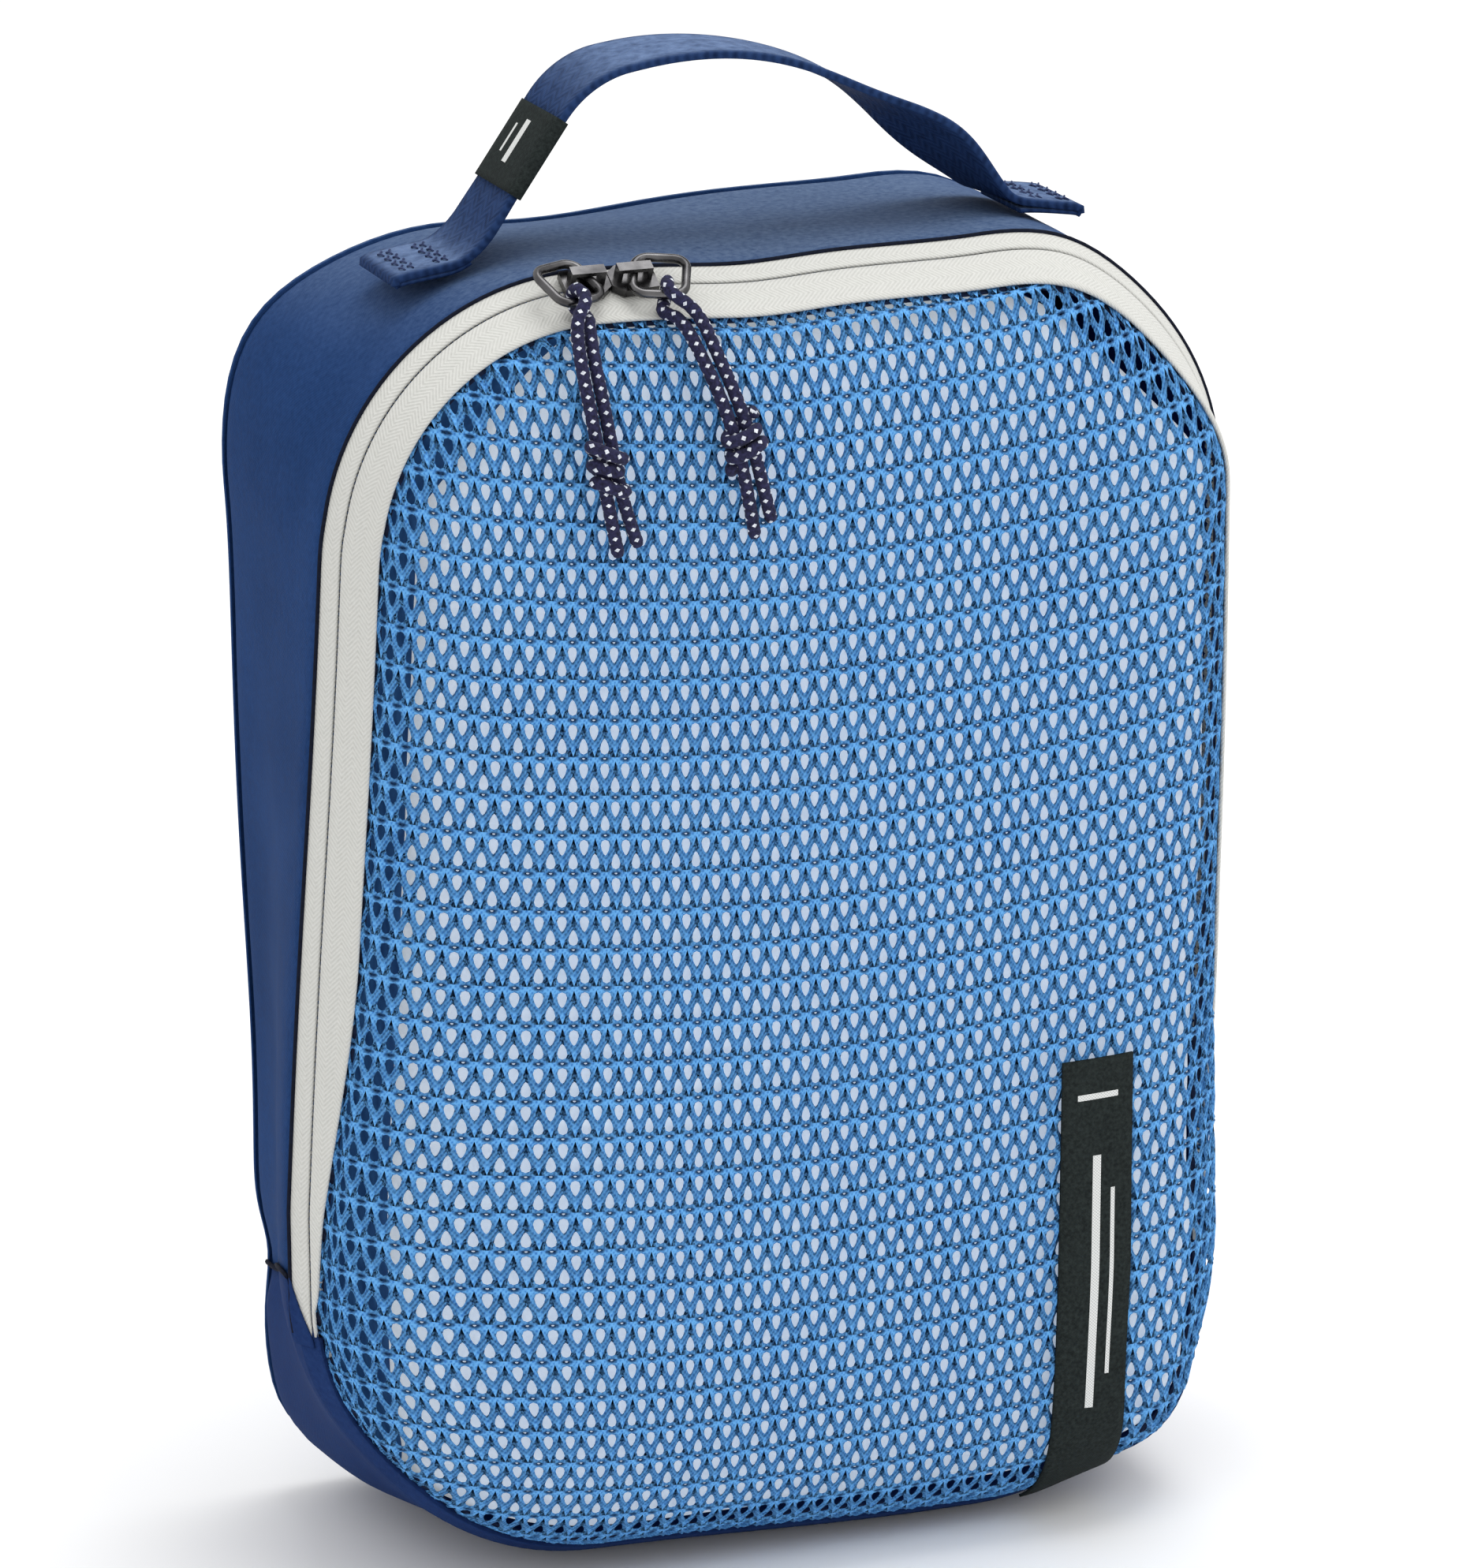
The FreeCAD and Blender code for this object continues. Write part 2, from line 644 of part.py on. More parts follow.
def ring_placement(x, side):
    """The ring's frame at its pin: x along the ring to its outer bar, swung downhill and raised."""
    pin = FreeCAD.Placement(FreeCAD.Vector(0, -SIZES["slider_line"], SIZES["ring_pin"]), FreeCAD.Rotation())
    swing = SIZES["ring_swing"]
    turn = FreeCAD.Rotation(FreeCAD.Vector(0, 0, 1), 180 + swing if side == LEFT else -swing)
    lift = FreeCAD.Rotation(FreeCAD.Vector(0, -1, 0), SIZES["ring_raise"])
    raised = FreeCAD.Placement(FreeCAD.Vector(), turn.multiply(lift))
    return band_placement(x).multiply(pin).multiply(raised)


def ring(label, x, side):
    """A wire ring with rounded corners. Its inner bar turns under the bridge."""
    body = new_body(label + "_pull_ring")
    length = size("ring_length")
    half = (size("ring_width") - size("ring_wire")) / 2
    corner = size("ring_corner")
    sink = size("ring_sink") if side == LEFT else -size("ring_sink")
    low = sink - half
    high = sink + half
    start = (zero, low + corner)
    path = new_sketch(body, "path", "XY_Plane")
    draw_rounded(path, [("start", start), ("arc", (corner, low + corner), (corner, low)),
                        ("line", (length - corner, low)), ("arc", (length - corner, low + corner),
                                                           (length, low + corner)),
                        ("line", (length, high - corner)), ("arc", (length - corner, high - corner),
                                                            (length - corner, high)),
                        ("line", (corner, high)), ("arc", (corner, high - corner), (zero, high - corner)),
                        ("line", start)])
    section = new_sketch(body, "section", "XZ_Plane", -sink)
    section.addGeometry(Part.Circle(FreeCAD.Vector(), FreeCAD.Vector(0, 0, 1), SIZES["ring_wire"] / 2))
    section.addConstraint(Sketcher.Constraint("Coincident", 0, 3, -1, 1))
    wire = section.addConstraint(Sketcher.Constraint("Radius", 0, SIZES["ring_wire"] / 2))
    bind(section, "Constraints[%d]" % wire, size("ring_wire") / 2)
    pipe = body.newObject("PartDesign::AdditivePipe", label + "_ring_sweep")
    pipe.Profile = section
    pipe.Spine = (path, ["Edge%d" % (index + 1) for index in range(8)])
    body.Placement = ring_placement(x, side)
    keep(body, label + "_pull_ring")


def cord_routes(label, x, side):
    """The two halves of a doubled cord, folded round the ring's lower arm, down to the cut ends."""
    frame = ring_placement(x, side)
    downhill = 1 if side == LEFT else -1
    half = (SIZES["ring_width"] - SIZES["ring_wire"]) / 2
    arm = half + SIZES["ring_sink"]
    clear = (SIZES["ring_wire"] + SIZES["cord"]) / 2 + SIZES["cord_gap"]

    def by_ring(along, beyond, out):
        """A point by the arm: along the ring, downhill past the arm, and out of the ring's plane."""
        return frame.multVec(FreeCAD.Vector(along, downhill * (arm + beyond), out))

    along = SIZES["fold_along"]
    fold = by_ring(along, -clear, 0)
    over = [fold, by_ring(along, -clear, clear),
            by_ring(along + SIZES["over_drift"], clear, clear + SIZES["over_lift"])]
    under = [fold, by_ring(along, -clear, -clear),
             by_ring(along - SIZES["under_drift"], clear + SIZES["under_reach"],
                     SIZES["under_lift"] - clear)]
    hang = HANGING[label]
    over += [FreeCAD.Vector(*point) for point in hang["over"]]
    under += [FreeCAD.Vector(*point) for point in hang["under"]]
    return over, under


# where each half hangs in front of the mesh, below the ring, and the middle of its knot
HANGING = {
    "left": {
        "over": [(-45.8, -41.6, 249.0), (-46.0, -44.6, 241.6), (-44.9, -47.6, 231.8), (-44.0, -49.4, 223.0),
                 (-42.2, -49.0, 214.2), (-40.4, -48.1, 206.2)],
        "under": [(-42.9, -40.4, 247.8), (-43.2, -44.3, 241.2), (-42.1, -47.4, 231.4), (-41.2, -49.4, 222.6),
                  (-39.2, -49.0, 214.6), (-36.6, -48.1, 207.8)],
        "knot": (-43.4, -49.4, 222.9)},
    "right": {
        "over": [(-22.6, -41.6, 249.0), (-20.0, -44.6, 241.6), (-17.2, -47.6, 233.4), (-15.2, -49.4, 226.0),
                 (-13.0, -49.0, 217.8), (-10.8, -48.1, 210.0)],
        "under": [(-25.5, -40.9, 247.6), (-22.9, -44.6, 241.2), (-20.0, -47.6, 233.0), (-18.0, -49.4, 225.6),
                  (-15.8, -49.0, 216.4), (-14.0, -48.1, 207.2)],
        "knot": (-16.7, -49.5, 225.6)},
}


def rounded_wire(points):
    """Straight runs joined by tangent arcs, each arc as large as its two runs allow."""
    edges = []
    spot = points[0]
    radii = []
    back_share = END_SHARE
    for before, corner, after in zip(points, points[1:], points[2:]):
        back_run = before - corner
        next_run = after - corner
        reach = min(back_share * back_run.Length, CORNER_SHARE * next_run.Length)
        back_share = CORNER_SHARE
        turn = math.pi - back_run.getAngle(next_run)
        radii.append(reach / math.tan(turn / 2))
        arc_start = corner + back_run.normalize() * reach
        arc_end = corner + next_run.normalize() * reach
        middle = (arc_start + arc_end) / 2
        inward = (middle - corner).normalize()
        centre = corner + inward * math.hypot(reach, radii[-1])
        edges.append(Part.LineSegment(spot, arc_start).toShape())
        edges.append(Part.Arc(arc_start, centre - inward * radii[-1], arc_end).toShape())
        spot = arc_end
    edges.append(Part.LineSegment(spot, points[-1]).toShape())
    return Part.Wire(edges), radii


def tube(label, points):
    """A round cord along a route."""
    wire, radii = rounded_wire(points)
    cord_radius = SIZES["cord"] / 2
    direction = points[1] - points[0]
    section = Part.Wire([Part.makeCircle(cord_radius, points[0], direction)])
    shape = wire.makePipeShell([section], True, False)
    expected = math.pi * cord_radius ** 2 * wire.Length
    print("%s: length %.1f, tightest bend %.2f, volume %.3f of section times length"
          % (label, wire.Length, min(radii), shape.Volume / expected))
    feature = document.addObject("Part::Feature", label)
    feature.Shape = shape
    keep(feature, label)


def cord(label, x, side):
    over, under = cord_routes(label, x, side)
    tube(label + "_cord_over", over)
    tube(label + "_cord_under", under)
    knot = document.addObject("Part::Ellipsoid", label + "_cord_knot")
    bind(knot, "Radius1", size("knot_half_height"))
    bind(knot, "Radius2", size("knot_half_width"))
    bind(knot, "Radius3", size("knot_half_depth"))
    knot.Placement = FreeCAD.Placement(FreeCAD.Vector(*HANGING[label]["knot"]), FreeCAD.Rotation())
    keep(knot, label + "_cord_knot")


def check_and_write():
    document.recompute()
    for thing in document.Objects:
        if "Invalid" in thing.State or "Error" in thing.State:
            raise RuntimeError("%s failed: %s" % (thing.Label, thing.State))
    os.makedirs("parts", exist_ok=True)
    for thing in sub_parts:
        shape = thing.Shape
        if shape.isNull() or not shape.isValid() or not shape.Solids:
            raise RuntimeError("%s has no valid solid" % thing.Label)
        box = shape.BoundBox
        print("%-22s volume %9.1f  x %7.1f %7.1f  y %6.1f %6.1f  z %6.1f %6.1f"
              % (thing.Label, shape.Volume, box.XMin, box.XMax, box.YMin, box.YMax, box.ZMin, box.ZMax))
        shape.exportStep("parts/%s.step" % thing.Label)


gussets()
back()
side_pieces()
zipper()
front()
handle_strap()
size_label()
handle_tabs()
handle_stitching()
for name, slider_x, way in (("left", SIZES["left_slider_x"], LEFT),
                            ("right", SIZES["right_slider_x"], RIGHT)):
    slider(name, slider_x, way)
    ring(name, slider_x, way)
    cord(name, slider_x, way)
check_and_write()
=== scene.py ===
import math

import bpy
import numpy as np
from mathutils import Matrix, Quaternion, Vector, noise


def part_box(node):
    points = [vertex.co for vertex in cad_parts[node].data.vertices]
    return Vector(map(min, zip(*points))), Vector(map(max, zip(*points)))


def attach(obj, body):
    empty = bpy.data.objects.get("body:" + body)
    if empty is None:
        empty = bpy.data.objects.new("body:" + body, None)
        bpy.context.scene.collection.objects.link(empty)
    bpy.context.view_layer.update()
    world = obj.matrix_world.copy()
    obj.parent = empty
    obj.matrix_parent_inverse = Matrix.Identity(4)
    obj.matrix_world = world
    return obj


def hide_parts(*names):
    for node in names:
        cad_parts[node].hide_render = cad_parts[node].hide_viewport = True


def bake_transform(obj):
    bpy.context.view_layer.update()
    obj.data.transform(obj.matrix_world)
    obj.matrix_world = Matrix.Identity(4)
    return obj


# Shapes are worked out in millimetres and turned into metres when a mesh is made.
MM = 0.001

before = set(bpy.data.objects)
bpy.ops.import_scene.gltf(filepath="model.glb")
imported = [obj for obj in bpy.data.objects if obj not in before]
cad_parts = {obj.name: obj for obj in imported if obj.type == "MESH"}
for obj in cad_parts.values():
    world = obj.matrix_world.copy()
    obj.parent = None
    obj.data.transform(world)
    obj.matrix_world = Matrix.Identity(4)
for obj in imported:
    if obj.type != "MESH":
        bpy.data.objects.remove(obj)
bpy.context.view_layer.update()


def box_mm(node):
    """A CAD node's lowest and highest corner, in millimetres."""
    low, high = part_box(node)
    return low / MM, high / MM


# ---------------------------------------------------------------- sizes from the frame
gusset_low, gusset_high = box_mm("upper_gusset")
_, back_high = box_mm("back_panel")
strap_low, strap_high = box_mm("handle_strap")
label_low, label_high = box_mm("front_label_upper")

HALF = gusset_high.x
TOP = gusset_high.z
FRONT = gusset_low.y
BACK = gusset_high.y
SEAM_HEIGHT = gusset_low.z
BACK_FACE = back_high.y
CORNER = 50.0
STRAIGHT = HALF - CORNER
CLOTH = 1.2
BAND_WIDTH = 14.0
BAND_SINE = math.sin(math.radians(30))
BAND_COSINE = math.cos(math.radians(30))
TAPE = 0.7
TAPE_START = 0.5
OUTER_TAPE_END = 4.6
INNER_TAPE_START = 5.4
SLIDER_LINE = 5.0
CROWN = -46.2
BULGE_REACH = 9.0
LABEL_LEFT = label_low.x
LABEL_RIGHT = label_high.x
LABEL_TOP = label_high.z
STRAP_WIDTH = strap_high.y - strap_low.y
STRAP = 1.8
STRAP_BOTTOM = 254.4
STRAP_FOOT = 54.0
LEFT_LEG = math.radians(55)
CREST_START = math.radians(12)
RIGHT_LEG = math.radians(40)
BEND_RADIUS = 20.0
# how far the handle's right leg leans, and where along x
TWIST = 6.5
TWIST_LIFT = 0.25
TWIST_MIDDLE = 38.0
TWIST_REACH = 11.0
# the size label on the left leg, as distances up the leg
LABEL_START = 13.0
LABEL_END = 30.0
# the rows of thread across a sewn end, as shares of its length
STITCH_ROWS = (0.22, 0.32, 0.62, 0.72)
STITCHES = 8
STITCH_PITCH = 2.1
STITCH_LEAN = 0.7
# a pull: its ring's pin, tilt and lower arm, and the cord that folds round the arm
CORD = 2.4
RING_PIN = 2.85
RING_RAISE = math.radians(8)
RING_SWING = math.radians(20)
RING_ARM = 5.65
FOLD_ALONG = 6.2
FOLD_CLEAR = 2.2
# both coils stop this far above the side seam
COIL_START = 9.0
# the base cloth's corner over the tape's end, and the side seam's drop at the back
COVER_HIGH = 11.0
COVER_WIDE = 5.1
SEAM_BACK_DROP = 8.0
# the net's repeat: its pitch, its row, where a pair of holes starts and ends, and its small eye
PITCH = 3.85
ROW = 7.3
HOLE_TOP = -0.45
HOLE_FOOT = 6.1
HOLE_WIDE = 0.77
HOLE_HIGH = 1.5
EYE_DOWN = (HOLE_FOOT + HOLE_TOP + ROW) / 2
EYE_SHADE_HIGH = 0.75
EYE_SHADE_WIDE = 1.05
YARN_RISE = 0.34
RING_POINTS = 10
# the net's dome: how far it stands out, its reach to each side, its middle height and its reach up and down
DOME = 2.6
DOME_WIDE = 84
DOME_MIDDLE = 118
DOME_HIGH = 128
# the stage clothes: where they stand in the cube, how their shoulders drop, and the gap behind the net
CLOTHES_SHIFT = 3.3
CLOTHES_SIDE_GAP = 12.5
CLOTHES_EDGE = 5
CLOTHES_TOP_GAP = 3
CLOTHES_LEFT_DROP = 16
CLOTHES_RIGHT_DROP = 11
CLOTHES_BEHIND = 3.4
# how much the net's rows sag in the middle, and the size of its waves
SAG = 0.0011
NET_WAVE = 0.7
# the slump, in millimetres at its most
FLARE = 9.3
BACK_PULL = 2.0
RIGHT_DIP = 1.3
RIGHT_BULGE = 4.0
LOW_LEFT_OUT = 4.2
LOW_LEFT_DOWN = 3.4
LOW_RIGHT_OUT = 5.0
LOW_RIGHT_DOWN = 4.2
HIGH_LEFT_OUT = 3.2
HIGH_LEFT_UP = 3.4
HIGH_RIGHT_UP = 1.9
PINCH_WIDE = 1.8
PINCH_NARROW = 1.9
TOP_DIP = 3.0
FRONT_DIP = 1.2
BASE_LIFT = 1.0
BASE_LIFT_LEFT = 2.4


# ---------------------------------------------------------------- camera and cords first
def make_camera():
    """The photo's viewpoint, as fitted to the cube's edges and the sliders."""
    azimuth = math.radians(-20.36)
    elevation = math.radians(16.47)
    roll = math.radians(-0.3)
    target = Vector((-0.001, 0, 0.1458))
    away = Vector((math.sin(azimuth) * math.cos(elevation), -math.cos(azimuth) * math.cos(elevation),
                   math.sin(elevation)))
    data = bpy.data.cameras.new("camera")
    data.sensor_width = 36
    data.lens = 163.2
    camera = bpy.data.objects.new("camera", data)
    camera.location = target + away * 1.3575
    camera.rotation_mode = "QUATERNION"
    camera.rotation_quaternion = (-away).to_track_quat("-Z", "Y") @ Quaternion((0, 0, 1), roll)
    bpy.context.scene.collection.objects.link(camera)
    bpy.context.scene.camera = camera


# ---------------------------------------------------------------- node materials
class Nodes:
    """A material's node tree, with short ways to add the nodes this scene uses."""

    def __init__(self, name):
        self.material = bpy.data.materials.new(name)
        self.material.use_nodes = True
        self.tree = self.material.node_tree
        self.shader = self.tree.nodes["Principled BSDF"]

    def add(self, kind, inputs=(), **settings):
        node = self.tree.nodes.new(kind)
        for key, value in settings.items():
            setattr(node, key, value)
        for key, value in dict(inputs).items():
            self.put(node.inputs[key], value)
        return node

    def put(self, socket, value):
        if isinstance(value, bpy.types.NodeSocket):
            self.tree.links.new(value, socket)
        else:
            socket.default_value = value

    def math(self, operation, *values):
        node = self.add("ShaderNodeMath", operation=operation)
        for socket, value in zip(node.inputs, values):
            self.put(socket, value)
        return node.outputs[0]

    def plus(self, first, second):
        return self.math("ADD", first, second)

    def minus(self, first, second):
        return self.math("SUBTRACT", first, second)

    def times(self, first, second):
        return self.math("MULTIPLY", first, second)

    def weighted(self, *parts):
        """The sum of the values, each times its own weight."""
        total = self.times(*parts[0])
        for value, weight in parts[1:]:
            total = self.plus(total, self.times(value, weight))
        return total

    def scaled(self, value, factor, base=0.5):
        """The value times factor, plus base."""
        return self.math("MULTIPLY_ADD", value, factor, base)

    def cloth(self):
        """Millimetres along and across the piece, from its own map."""
        node = self.add("ShaderNodeSeparateXYZ", {0: self.add("ShaderNodeUVMap", uv_map="cloth").outputs[0]})
        return node.outputs[0], node.outputs[1]

    def noise(self, scale, detail):
        space = self.add("ShaderNodeTexCoord").outputs["Object"]
        return self.add("ShaderNodeTexNoise", {"Vector": space, "Scale": scale, "Detail": detail,
                                               "Roughness": 0.55}).outputs["Fac"]

    def wave(self, value, period):
        """A sine of a length in millimetres, from 0.5 to 1.5."""
        return self.scaled(self.math("SINE", self.times(value, 2 * math.pi / period)), 0.5, 1.0)

    def ramp(self, value, stops):
        node = self.add("ShaderNodeValToRGB", {"Fac": value})
        ramp = node.color_ramp
        while len(ramp.elements) < len(stops):
            ramp.elements.new(0.5)
        for element, (place, colour) in zip(ramp.elements, stops):
            element.position = place
            element.color = (*colour, 1)
        return node.outputs["Color"]

    def mix(self, share, first, second):
        node = self.add("ShaderNodeMix", data_type="RGBA")
        for key, value in ((0, share), (6, first), (7, second)):
            self.put(node.inputs[key], value if not isinstance(value, tuple) else (*value, 1))
        return node.outputs[2]

    def bump(self, height, distance, strength=1.0, under=None):
        node = self.add("ShaderNodeBump", {"Height": height, "Distance": distance * MM, "Strength": strength})
        if under is not None:
            self.put(node.inputs["Normal"], under)
        return node.outputs[0]

    def finish(self, colour, roughness, normal, **constants):
        self.put(self.shader.inputs["Base Color"], colour)
        self.put(self.shader.inputs["Roughness"], roughness)
        self.put(self.shader.inputs["Normal"], normal)
        for key, value in constants.items():
            self.shader.inputs[key.replace("_", " ")].default_value = value
        return self.material


def plain_weave(nodes, along, across, thread):
    """Over and under threads, as a height from 0 to 1."""
    one = nodes.wave(along, thread * 2)
    other = nodes.wave(across, thread * 2)
    same = nodes.math("ABSOLUTE", nodes.minus(one, other))
    return nodes.minus(1.0, same)


# facing_up is the mask of painted top light: colour made paler where a surface faces up
def facing_up(nodes, power):
    """1 where the surface faces up, falling to 0 on its sides."""
    facing = nodes.add("ShaderNodeSeparateXYZ", {0: nodes.add("ShaderNodeNewGeometry").outputs["Normal"]})
    return nodes.math("POWER", nodes.math("MAXIMUM", facing.outputs[2], 0.0), power)


def navy_cloth(name, dark, light, painted_top_light):
    """Coated cloth: a very fine weave, soft creases, heathered grain, and painted top light: a paler greyish
    colour where it faces up, standing in for light from above and its sheen.
    """
    nodes = Nodes(name)
    along, across = nodes.cloth()
    weave = plain_weave(nodes, along, across, 0.42)
    heather = nodes.noise(850, 3)
    patches = nodes.noise(26, 3)
    share = nodes.weighted((patches, 0.5), (heather, 0.5))
    colour = nodes.ramp(share, [(0.3, dark), (0.7, light)])
    # painted top light: upward faces are mixed towards a paler grey-blue, speckled by the heather grain
    grain_and_top_light = nodes.times(facing_up(nodes, 7.0), nodes.times(heather, 1.3))
    colour = nodes.mix(grain_and_top_light, colour, painted_top_light)
    creases = nodes.bump(nodes.noise(38, 4), 0.8, 0.5)
    normal = nodes.bump(nodes.plus(weave, nodes.times(heather, 0.6)), 0.05, 0.8, creases)
    rough = nodes.scaled(heather, 0.25, 0.55)
    return nodes.finish(colour, rough, normal, Specular_IOR_Level=0.015)


def webbing_cloth(name, dark, light, painted_top_light, rib):
    """Woven strap: ribs across it, a fine weave, paler worn threads, and painted top light: paler where it
    faces up, standing in for light from above.
    """
    nodes = Nodes(name)
    along, across = nodes.cloth()
    zig = nodes.math("PINGPONG", across, 2.5)
    twill = nodes.wave(nodes.plus(along, zig), rib)
    threads = nodes.wave(across, 0.55)
    height = nodes.weighted((twill, 0.7), (threads, 0.4))
    grain_and_top_light = nodes.noise(420, 3)
    share = nodes.weighted((height, 0.35), (grain_and_top_light, 0.75))
    colour = nodes.ramp(share, [(0.3, dark), (0.85, light)])
    # painted top light: upward faces are mixed towards a paler blue, speckled by the grain
    colour = nodes.mix(nodes.times(facing_up(nodes, 5.0), nodes.times(grain_and_top_light, 1.5)), colour, painted_top_light)
    normal = nodes.bump(height, 0.22, 1.0)
    rough = nodes.scaled(grain_and_top_light, 0.2, 0.55)
    return nodes.finish(colour, rough, normal, Specular_IOR_Level=0.02)


def tape_cloth(name):
    """Pale zipper tape in a herringbone twill, its colour darker in the twill's grooves."""
    nodes = Nodes(name)
    along, across = nodes.cloth()
    zig = nodes.math("PINGPONG", across, 2.4)
    twill = nodes.wave(nodes.plus(along, zig), 0.95)
    fine = nodes.noise(1500, 2)
    share = nodes.weighted((twill, 0.42), (fine, 0.58))
    colour = nodes.ramp(share, [(0.05, (0.34, 0.338, 0.315)), (0.5, (0.52, 0.52, 0.49)),
                                (1.0, (0.62, 0.62, 0.59))])
    normal = nodes.bump(share, 0.16, 0.9)
    return nodes.finish(colour, nodes.scaled(fine, 0.7), normal,
                        Sheen_Weight=0.2, Specular_IOR_Level=0.25)


def thread_cloth(name, dark, light, scale=900):
    """Binding tape, thread and other small cloth: fine grain and colour variation."""
    nodes = Nodes(name)
    grain = nodes.noise(scale, 3)
    colour = nodes.ramp(grain, [(0.3, dark), (0.7, light)])
    return nodes.finish(colour, nodes.scaled(grain, 0.8), nodes.bump(grain, 0.1, 0.8),
                        Specular_IOR_Level=0.1)


def net_yarn(name):
    """Blue warp-knit yarn: loops along each strand, and shade round each small eye."""
    nodes = Nodes(name)
    along, across = nodes.cloth()
    loops = nodes.wave(nodes.plus(along, nodes.times(across, 0.6)), 0.7)
    cross = nodes.wave(nodes.minus(along, nodes.times(across, 0.8)), 0.95)
    grain = nodes.noise(1100, 3)
    patches = nodes.noise(60, 3)
    share = nodes.weighted((loops, 0.22), (grain, 0.5), (cross, 0.18), (patches, 0.2))
    colour = nodes.ramp(share, [(0.28, (0.016, 0.090, 0.32)), (0.52, (0.042, 0.190, 0.52)),
                                (0.78, (0.13, 0.39, 0.76))])
    down = nodes.math("DIVIDE", nodes.minus(across, EYE_DOWN), ROW)
    row = nodes.math("ROUND", down)
    far_down = nodes.times(nodes.minus(down, row), ROW / EYE_SHADE_HIGH)
    shift = nodes.times(nodes.plus(nodes.math("FLOORED_MODULO", row, 2.0), 1.0), 0.5)
    turn = nodes.minus(nodes.math("DIVIDE", along, PITCH), shift)
    far_along = nodes.times(nodes.minus(turn, nodes.math("ROUND", turn)),
                           PITCH / EYE_SHADE_WIDE)
    far = nodes.times(far_down, far_down)
    far = nodes.plus(far, nodes.times(far_along, far_along))
    shade = nodes.times(nodes.math("MAXIMUM", nodes.minus(1.0, far), 0.0), 0.92)
    colour = nodes.mix(shade, colour, (0.006, 0.025, 0.09))
    normal = nodes.bump(share, 0.22, 1.0)
    return nodes.finish(colour, nodes.scaled(grain, 0.5), normal,
                        Specular_IOR_Level=0.15)


def label_cloth(name, marks):
    """Black woven satin label. Its marks are plain pale bars, listed as (along, across, length, width)."""
    nodes = Nodes(name)
    along, across = nodes.cloth()
    weave = plain_weave(nodes, along, across, 0.3)
    grain = nodes.noise(1400, 2)
    black = nodes.ramp(grain, [(0.3, (0.010, 0.013, 0.013)), (0.75, (0.026, 0.033, 0.032))])
    drawn = 0.0
    for centre_along, centre_across, length, width in marks:
        far_along = nodes.math("ABSOLUTE", nodes.minus(along, centre_along))
        far_across = nodes.math("ABSOLUTE", nodes.minus(across, centre_across))
        inside = nodes.times(nodes.math("LESS_THAN", far_along, length / 2),
                            nodes.math("LESS_THAN", far_across, width / 2))
        drawn = nodes.math("MAXIMUM", drawn, inside)
    pale = nodes.ramp(weave, [(0.0, (0.42, 0.43, 0.42)), (1.0, (0.74, 0.75, 0.74))])
    colour = nodes.mix(drawn, black, pale)
    height = nodes.weighted((weave, 0.5), (drawn, 0.8))
    return nodes.finish(colour, nodes.scaled(grain, 0.5), nodes.bump(height, 0.08, 0.9),
                        Specular_IOR_Level=0.04)


def flecked_braid(name):
    """Near-black navy braid with staggered pale flecks."""
    nodes = Nodes(name)
    along, around = nodes.cloth()
    lane = nodes.times(around, 4.0)
    stagger = nodes.times(nodes.math("MODULO", nodes.math("FLOOR", lane), 2.0), 0.5)
    step = nodes.math("FRACT", nodes.plus(nodes.math("DIVIDE", along, 2.2), stagger))
    far_step = nodes.math("ABSOLUTE", nodes.minus(step, 0.5))
    far_lane = nodes.math("ABSOLUTE", nodes.minus(nodes.math("FRACT", lane), 0.5))
    reach = nodes.weighted((far_step, 1.0), (far_lane, 0.62))
    fleck = nodes.math("LESS_THAN", reach, 0.185)
    grain = nodes.noise(1600, 2)
    dark = nodes.ramp(grain, [(0.3, (0.007, 0.007, 0.022)), (0.7, (0.028, 0.028, 0.078))])
    pale = nodes.ramp(grain, [(0.3, (0.42, 0.45, 0.52)), (0.7, (0.80, 0.83, 0.88))])
    colour = nodes.mix(fleck, dark, pale)
    return nodes.finish(colour, nodes.scaled(grain, 0.6), nodes.bump(grain, 0.12, 0.8),
                        Sheen_Weight=0.04, Specular_IOR_Level=0.15)


def gunmetal(name):
    """Dark plated zinc, cloudy in tone and a little scuffed."""
    nodes = Nodes(name)
    scuffs = nodes.noise(700, 5)
    cloudy = nodes.noise(180, 2)
    colour = nodes.ramp(cloudy, [(0.3, (0.055, 0.054, 0.056)), (0.7, (0.15, 0.147, 0.15))])
    rough = nodes.scaled(scuffs, 0.3, 0.14)
    return nodes.finish(colour, rough, nodes.bump(scuffs, 0.05, 0.35), Metallic=1.0)


def coil_plastic(name):
    """Pale nylon coil, slightly uneven."""
    nodes = Nodes(name)
    grain = nodes.noise(1100, 2)
    colour = nodes.ramp(grain, [(0.3, (0.36, 0.35, 0.32)), (0.75, (0.60, 0.59, 0.55))])
    return nodes.finish(colour, nodes.scaled(grain, 0.45), nodes.bump(grain, 0.04, 0.6),
                        Specular_IOR_Level=0.5)


def white_cotton(name):
    """Folded white clothes seen through the net, with a painted glow: they emit light in their own colour, as
    if brighter light reached them through the net.
    """
    nodes = Nodes(name)
    grain = nodes.noise(700, 3)
    colour = nodes.ramp(grain, [(0.3, (0.74, 0.81, 0.86)), (0.7, (0.83, 0.89, 0.93))])
    # painted light: the clothes glow in their own colour, though they are no lamp
    nodes.put(nodes.shader.inputs["Emission Color"], colour)
    return nodes.finish(colour, nodes.scaled(grain, 0.9), nodes.bump(grain, 0.2, 0.6),
                        Emission_Strength=0.36)


